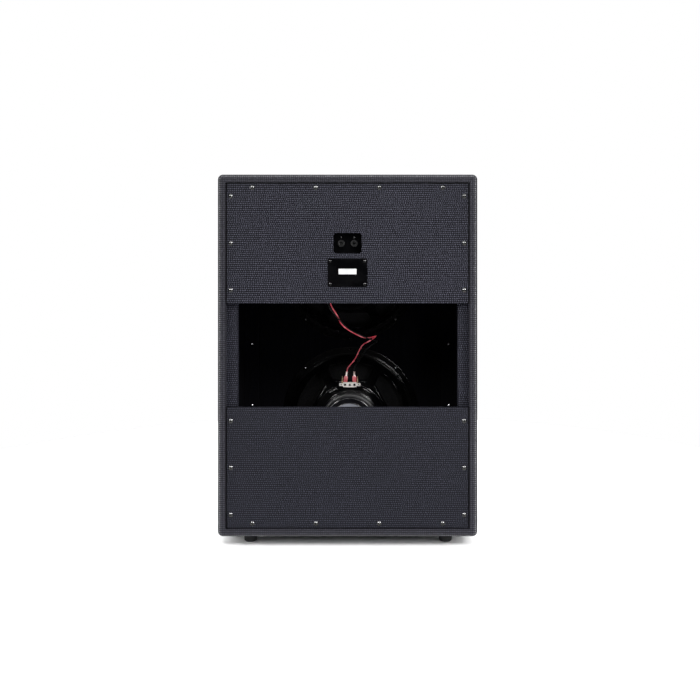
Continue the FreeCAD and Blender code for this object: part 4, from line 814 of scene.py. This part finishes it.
# Each ring: place along the terminal, half width and half thickness in millimetres, and squareness
HOUSING_RINGS = [(3.0, 3.3, 1.3, 5), (0.0, 3.5, 1.5, 5), (0.0, 4.1, 2.1, 5), (0.35, 4.3, 2.3, 5),
                 (9.6, 4.3, 2.3, 5), (11.2, 4.1, 2.25, 4), (12.4, 3.4, 2.2, 3), (13.2, 2.7, 2.2, 2.2)]
BARREL_RINGS = [(12.6, 2.2, 2.2, 2), (14.4, 2.2, 2.2, 2), (15.2, 2.05, 1.75, 2), (17.0, 2.05, 1.75, 2),
                (17.8, 2.2, 2.2, 2), (19.4, 2.2, 2.2, 2), (20.0, 2.1, 1.95, 2), (21.2, 2.1, 1.95, 2),
                (21.8, 2.25, 2.25, 2), (22.8, 2.3, 2.3, 2), (23.0, 2.1, 2.1, 2), (23.0, 1.2, 1.2, 2)]


def squarish_loop(bm, place, half_width, half_depth, squareness):
    """A loop that is round at squareness 2 and nearly square at 5."""
    loop = []
    for step in range(CRIMP_SEGMENTS):
        turn = 2 * math.pi * step / CRIMP_SEGMENTS
        x, y = (math.copysign(abs(part) ** (2 / squareness), part)
                for part in (math.cos(turn), math.sin(turn)))
        loop.append(bm.verts.new((half_width * MM * x, half_depth * MM * y, place * MM)))
    return loop


def lofted(name, rings):
    """A closed sleeve through rings."""
    bm = bmesh.new()
    loops = [squarish_loop(bm, *ring) for ring in rings]
    walls(bm, loops)
    close_ends(bm, loops)
    return finish_mesh(bm, name)


def crimp_places():
    """Driver terminals stand on their tabs, one leaning as in the photograph; jack terminals lie flat."""
    places = []
    for low, high in solids_of("crimp_terminals"):
        middle = (low + high) / 2
        if high.z - low.z > high.y - low.y:
            lean = -PHOTO_TILT if middle.x > 0 and middle.z < DRIVER_Z["upper"] else 0
            places.append(Matrix.Translation((middle.x, middle.y, low.z)) @ Matrix.Rotation(lean, 4, "Y"))
        else:
            lying = Matrix.Rotation(math.radians(90), 4, "X")
            places.append(Matrix.Translation((middle.x, high.y, middle.z)) @ lying)
    return places


def make_crimps(wire, ends):
    """The terminals whose barrels hold a wire's two ends, as two pieces on that wire."""
    places = [place for place in crimp_places()
              if any((place @ BARREL_TIP - end).length < CRIMP_REACH for end in ends)]
    pieces = []
    for part, rings, look in (("housings", HOUSING_RINGS, PINK), ("barrels", BARREL_RINGS, PALE)):
        name = f"{wire}_crimp_{part}"
        pieces.append(scattered(name, lofted(name, rings), places, look))
        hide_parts("crimp_terminals")
    return pieces


# Wires: each has its length in metres, and its route from its jack to its driver in millimetres

WIRE_DIAMETER = 2.6 * MM
CURVE_STEPS = 10
CURVE_ROUNDNESS = 5
ROUTES = {
    "lower_red_wire": (0.429, [
        (13, 85.5, 612.8), (13, 74, 612.8), (15, 62, 606), (18, 57, 592), (22, 56.5, 574), (27.5, 59, 553),
        (33.5, 63.5, 531), (38.5, 69, 510), (40.5, 74, 491), (34.5, 75.5, 474), (23.5, 70, 458),
        (16.8, 62, 440), (4.5, 52.5, 428), (-12, 43, 418), (-29, 34, 408.5), (-44, 25.5, 406.5),
        (-55, 17.5, 409.5), (-59, 7, 410), (-52.5, -1.5, 403.5), (-41, -6, 396), (-29, -11, 389.5),
        (-21, -18, 376), (-14, -26, 359), (-6, -31.8, 347.5), (0.5, -35.4, 340), (5.4, -36.3, 334.5),
        (6.8, -36.3, 326.5)]),
    "lower_black_wire": (0.401, [
        (13, 85.5, 600.8), (13, 77, 600.8), (12.6, 69, 592.5), (14.5, 66, 578), (20, 67.5, 557),
        (27, 71, 535), (35, 76, 513), (43.5, 80.5, 492.5), (40.5, 84, 475), (27.5, 79.5, 459.5),
        (13.5, 68.5, 441.5), (1, 58.5, 428.5), (-14, 49.5, 419.5), (-30, 40, 411.5), (-45, 31, 404.5),
        (-55.5, 22, 400.5), (-61.5, 11.5, 399), (-58.5, 0.5, 395.5), (-49, -7, 388.5), (-38, -12.5, 380),
        (-29.5, -19, 367.5), (-22, -27, 353), (-14.5, -33.5, 343.5), (-10, -36.3, 336), (-10, -36.3, 327)]),
    "upper_red_wire": (0.150, [
        (-13, 85.5, 612.8), (-13, 75, 612.8), (-12.5, 63, 614), (-11, 48.5, 620), (-8, 33, 629.5),
        (-4, 17, 641.5), (0.5, 0, 654), (5, -15, 664), (8.5, -27, 668), (10, -36.3, 662), (10, -36.3, 652)]),
    "upper_black_wire": (0.157, [
        (-13, 85.5, 600.8), (-13, 75, 600.8), (-13.8, 62.5, 601), (-15, 48, 606.5), (-16, 32.5, 618),
        (-16.5, 16, 634), (-16, 0, 650), (-14.6, -13.5, 663), (-12.4, -25.5, 668.5), (-10, -36.3, 662.5),
        (-10, -36.3, 652)]),
}


def spline_curve(name, points, thickness):
    """A smooth curve with the points as its control points; thickness zero leaves it a bare line."""
    curve = bpy.data.curves.new(name, "CURVE")
    curve.dimensions = "3D"
    curve.resolution_u = CURVE_STEPS
    curve.bevel_depth = thickness / 2
    curve.bevel_resolution = CURVE_ROUNDNESS
    curve.use_fill_caps = thickness > 0
    spline = curve.splines.new("NURBS")
    spline.points.add(len(points) - 1)
    for point, place in zip(spline.points, points):
        point.co = (*place, 1)
    spline.order_u = 3
    spline.use_endpoint_u = True
    thing = bpy.data.objects.new(name, curve)
    bpy.context.collection.objects.link(thing)
    return thing


def make_wires():
    for node, (length, route) in ROUTES.items():
        points = [Vector(place) * MM for place in route]
        red = "red" in node
        wire = spline_curve(f"{node}_sleeve", points, WIRE_DIAMETER)
        wire.data.materials.append(RED if red else BLACK)
        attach(wire, CABINET)
        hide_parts(node)
        ends = make_crimps(node, (points[0], points[-1]))


# Tinsel leads: each curves from the terminal board on the cabinet towards the moving cone

TINSEL_DIAMETER = 1.6 * MM
TINSEL_PITCH = 34 * MM
EAR_HEIGHT = 6 * MM
# Each point: how far ahead of the board's face and how far up, in millimetres
TINSEL_ROUTE = [(1, 0), (1, 8.5), (8, 14.5), (17, 13.5), (25, 7.5), (31, -0.5), (38, -5.5), (45.2, -7.3)]


def make_tinsel():
    for level in LEVELS:
        low, high = terminal_strip(level)
        face = high.y
        rise = (low.z + high.z + EAR_HEIGHT) / 2
        for side, sign in (("left", -1), ("right", 1)):
            name = f"{level}_{side}_tinsel"
            points = [Vector((sign * TINSEL_PITCH / 2, face - ahead * MM, rise + up * MM))
                      for ahead, up in TINSEL_ROUTE]
            round_line = spline_curve(f"{name}_line", points, TINSEL_DIAMETER)
            bare_line = spline_curve(f"{name}_path", points, 0)
            mesh = bpy.data.meshes.new_from_object(round_line)
            path = [vertex.co.copy() for vertex in bpy.data.meshes.new_from_object(bare_line).vertices]
            for helper in (round_line, bare_line):
                bpy.data.objects.remove(helper)
            mesh.materials.clear()
            lead = add_piece(name, mesh, TINSEL, None)
            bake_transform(lead)
            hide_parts(f"{level}_tinsel_leads")


# Surrounds and spiders: rings in sectors, each with rolls between its inner and its outer edge

SECTOR_STEPS = 6
ROLL_STEPS = 8
RING_THICKNESS = 0.8 * MM
# Depths are behind the front of the frame's flange
SURROUND_SECTORS = 16
SURROUND_DEPTH = 4.2 * MM
SURROUND_NECK_RADIUS, SURROUND_NECK_DEPTH = 123 * MM, 5.4 * MM
SURROUND_ROLL_RADII = (126 * MM, 134 * MM)
SURROUND_ROLL_HEIGHT, SURROUND_ROLLS = 2.2 * MM, 3
SURROUND_RIM_RADIUS = 140 * MM
SPIDER_SECTORS = 10
SPIDER_DEPTH = 73.2 * MM
SPIDER_ROLL_RADII = (24.6 * MM, 66 * MM)
SPIDER_ROLL_HEIGHT, SPIDER_ROLLS = 2.0 * MM, 6
SPIDER_RIM_RADIUS = 72 * MM


def ripple(start, end, depth, height, count):
    """Smooth rolls from one radius to another, standing forward of a depth."""
    steps = count * ROLL_STEPS
    return [(start + (end - start) * step / steps,
             depth - height * (1 - math.cos(2 * math.pi * step / ROLL_STEPS)) / 2)
            for step in range(steps + 1)]


def make_ring(level, piece, front, count, look):
    """The ring's front profile is given as radius and depth behind the frame's flange."""
    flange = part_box(f"{level}_frame")[0].y
    profile = front + [(radius, depth + RING_THICKNESS) for radius, depth in reversed(front)]
    for index in range(count):
        bm = bmesh.new()
        rows = []
        for step in range(SECTOR_STEPS + 1):
            turn = 2 * math.pi * (index + step / SECTOR_STEPS) / count
            rows.append([bm.verts.new((radius * math.cos(turn), flange + depth,
                                       DRIVER_Z[level] + radius * math.sin(turn)))
                         for radius, depth in profile])
        walls(bm, rows)
        close_ends(bm, rows)
        mesh = finish_mesh(bm, piece, SOFT_CREASE)
        sector = add_piece(f"{level}_{piece}_sector_{index + 1}", mesh, look, None)
        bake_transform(sector)
        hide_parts(f"{level}_{piece}")


def make_rings():
    surround = [(SURROUND_NECK_RADIUS, SURROUND_NECK_DEPTH)]
    surround += ripple(*SURROUND_ROLL_RADII, SURROUND_DEPTH, SURROUND_ROLL_HEIGHT, SURROUND_ROLLS)
    surround += [(SURROUND_RIM_RADIUS, SURROUND_DEPTH)]
    spider = ripple(*SPIDER_ROLL_RADII, SPIDER_DEPTH, SPIDER_ROLL_HEIGHT, SPIDER_ROLLS)
    spider += [(SPIDER_RIM_RADIUS, SPIDER_DEPTH)]
    for level in LEVELS:
        make_ring(level, "surround", surround, SURROUND_SECTORS, TREATED)
        make_ring(level, "spider", spider, SPIDER_SECTORS, SPIDER)


# Grille cloth: one sheet stretched over the frame and folded round its sides

CLOTH_FOLD_RADIUS = 1.6 * MM
FOLD_STEPS = 4
CLOTH_STEPS = 24


def cloth_ring(bm, low, high, inset, back):
    """A rectangle of points inside a box's outline, some way back from its front."""
    x0, x1, z0, z1 = low.x + inset, high.x - inset, low.z + inset, high.z - inset
    corners = [(x0, z0), (x1, z0), (x1, z1), (x0, z1)]
    ring = []
    for start, end in zip(corners, corners[1:] + corners[:1]):
        for step in range(CLOTH_STEPS):
            share = step / CLOTH_STEPS
            ring.append(bm.verts.new((start[0] + (end[0] - start[0]) * share, low.y + back,
                                      start[1] + (end[1] - start[1]) * share)))
    return ring


def make_cloth():
    low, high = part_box("grille_cloth")
    wide, deep, tall = high.x - low.x, high.y - low.y, high.z - low.z
    rows = [(CLOTH_FOLD_RADIUS, 0.0)]
    for step in range(1, FOLD_STEPS + 1):
        turn = math.radians(90 * step / FOLD_STEPS)
        rows.append((CLOTH_FOLD_RADIUS * (1 - math.sin(turn)), CLOTH_FOLD_RADIUS * (1 - math.cos(turn))))
    rows.append((0.0, deep))
    bm = bmesh.new()
    rings = [cloth_ring(bm, low, high, inset, back) for inset, back in rows]
    walls(bm, rings)
    bm.faces.new(rings[0])
    cloth = add_piece("grille_sheet", finish_mesh(bm, "grille_sheet", SOFT_CREASE), CLOTH)
    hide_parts("grille_cloth")


# Floor, light and world

FLOOR_RADIUS = 1.3
FLOOR_SEGMENTS = 96
FLOOR_WHITE = (0.92, 0.92, 0.92)
# The world's strength: dim ahead and behind, brighter to the sides, and brightest overhead
WALL_START, WALL_END = 0.3, 1.0
WALL_DIM, WALL_BRIGHT = 0.04, 0.75
SKY_LOW, SKY_HIGH = 0.05, 0.85
SKY_BRIGHT = 1.6
SEEN_BRIGHT = 1.0


class Lamp(NamedTuple):
    """A rectangular light that faces a target; a card shows only in gloss."""
    place: tuple
    target: tuple
    size: tuple
    power: float
    card: bool = False


def side_lamps(side, sign, soft_box_power):
    """The lights on one side; the other side has them mirrored."""
    return {
        f"{side}_soft_box": Lamp((sign * 1.75, 1.75, 1.85), (0, 0.15, 0.4), (0.5, 0.5), soft_box_power),
        f"{side}_side_strip": Lamp((sign * 2.0, 0.35, 0.75), (0, 0.1, 0.4), (0.35, 1.3), 22),
        f"{side}_glint_card": Lamp((sign * 1.5, 1.9, 1.85), (0, 0.15, 0.6), (0.75, 0.75), 170, card=True),
    }


LAMPS = {
    **side_lamps("left", 1, soft_box_power=14),
    **side_lamps("right", -1, soft_box_power=36),
    "wide_glint_card": Lamp((0, 1.95, 2.15), (0, 0, 0.3), (1.8, 0.35), 60, card=True),
    "key_light": Lamp((-0.75, 2.2, 1.15), (0, 0, 0.35), (0.35, 0.35), 9),
    "low_glint_card": Lamp((-0.8, 2.2, 0.75), (0, 0, 0.35), (0.3, 0.7), 20, card=True),
    "top_soft_box": Lamp((0, 0.3, 3.2), (0, 0.1, 0), (2.6, 2.6), 60),
}


def make_stage():
    bm = bmesh.new()
    bm.faces.new(ring_of(bm, FLOOR_RADIUS, 0, FLOOR_SEGMENTS))
    mesh = finish_mesh(bm, "floor")
    floor = bpy.data.objects.new("floor", mesh)
    bpy.context.collection.objects.link(floor)
    pale = Look("pale_floor", FLOOR_WHITE, roughness=0.6, specular=0.2)
    mesh.materials.append(pale.material)


def make_world():
    """A white room to look at, whose light falls mostly from above."""
    world = bpy.data.worlds.new("studio")
    world.use_nodes = True
    room = NodeTree(world.node_tree)
    x, _, z = room.split(room.add("ShaderNodeTexCoord").outputs["Generated"])
    walls_light = room.ramp(room.math("ABSOLUTE", x), WALL_START, WALL_END, WALL_DIM, WALL_BRIGHT)
    strength = room.ramp(z, SKY_LOW, SKY_HIGH, walls_light, SKY_BRIGHT)
    to_camera = room.add("ShaderNodeLightPath").outputs["Is Camera Ray"]
    background = room.tree.nodes["Background"]
    room.join(background.inputs["Strength"], room.pick(to_camera, strength, SEEN_BRIGHT))
    background.inputs["Color"].default_value = (1, 1, 1, 1)
    bpy.context.scene.world = world
    bpy.context.scene.view_settings.view_transform = "Standard"


def make_lamps():
    """Soft boxes, strips at the sides and a key light, and cards that put glints on screws and gloss."""
    for name, lamp in LAMPS.items():
        data = bpy.data.lights.new(name, "AREA")
        data.shape = "RECTANGLE"
        data.size, data.size_y = lamp.size
        data.energy = lamp.power
        light = bpy.data.objects.new(name, data)
        light.location = lamp.place
        way = Vector(lamp.target) - Vector(lamp.place)
        light.rotation_euler = way.to_track_quat("-Z", "Y").to_euler()
        light.visible_diffuse = not lamp.card
        bpy.context.collection.objects.link(light)


make_camera()
dress_nodes()
make_wires()
make_tinsel()
make_rings()
make_screws()
make_sticker()
make_numerals()
make_discs()
make_eyelets()
make_cloth()
make_stage()
make_world()
make_lamps()
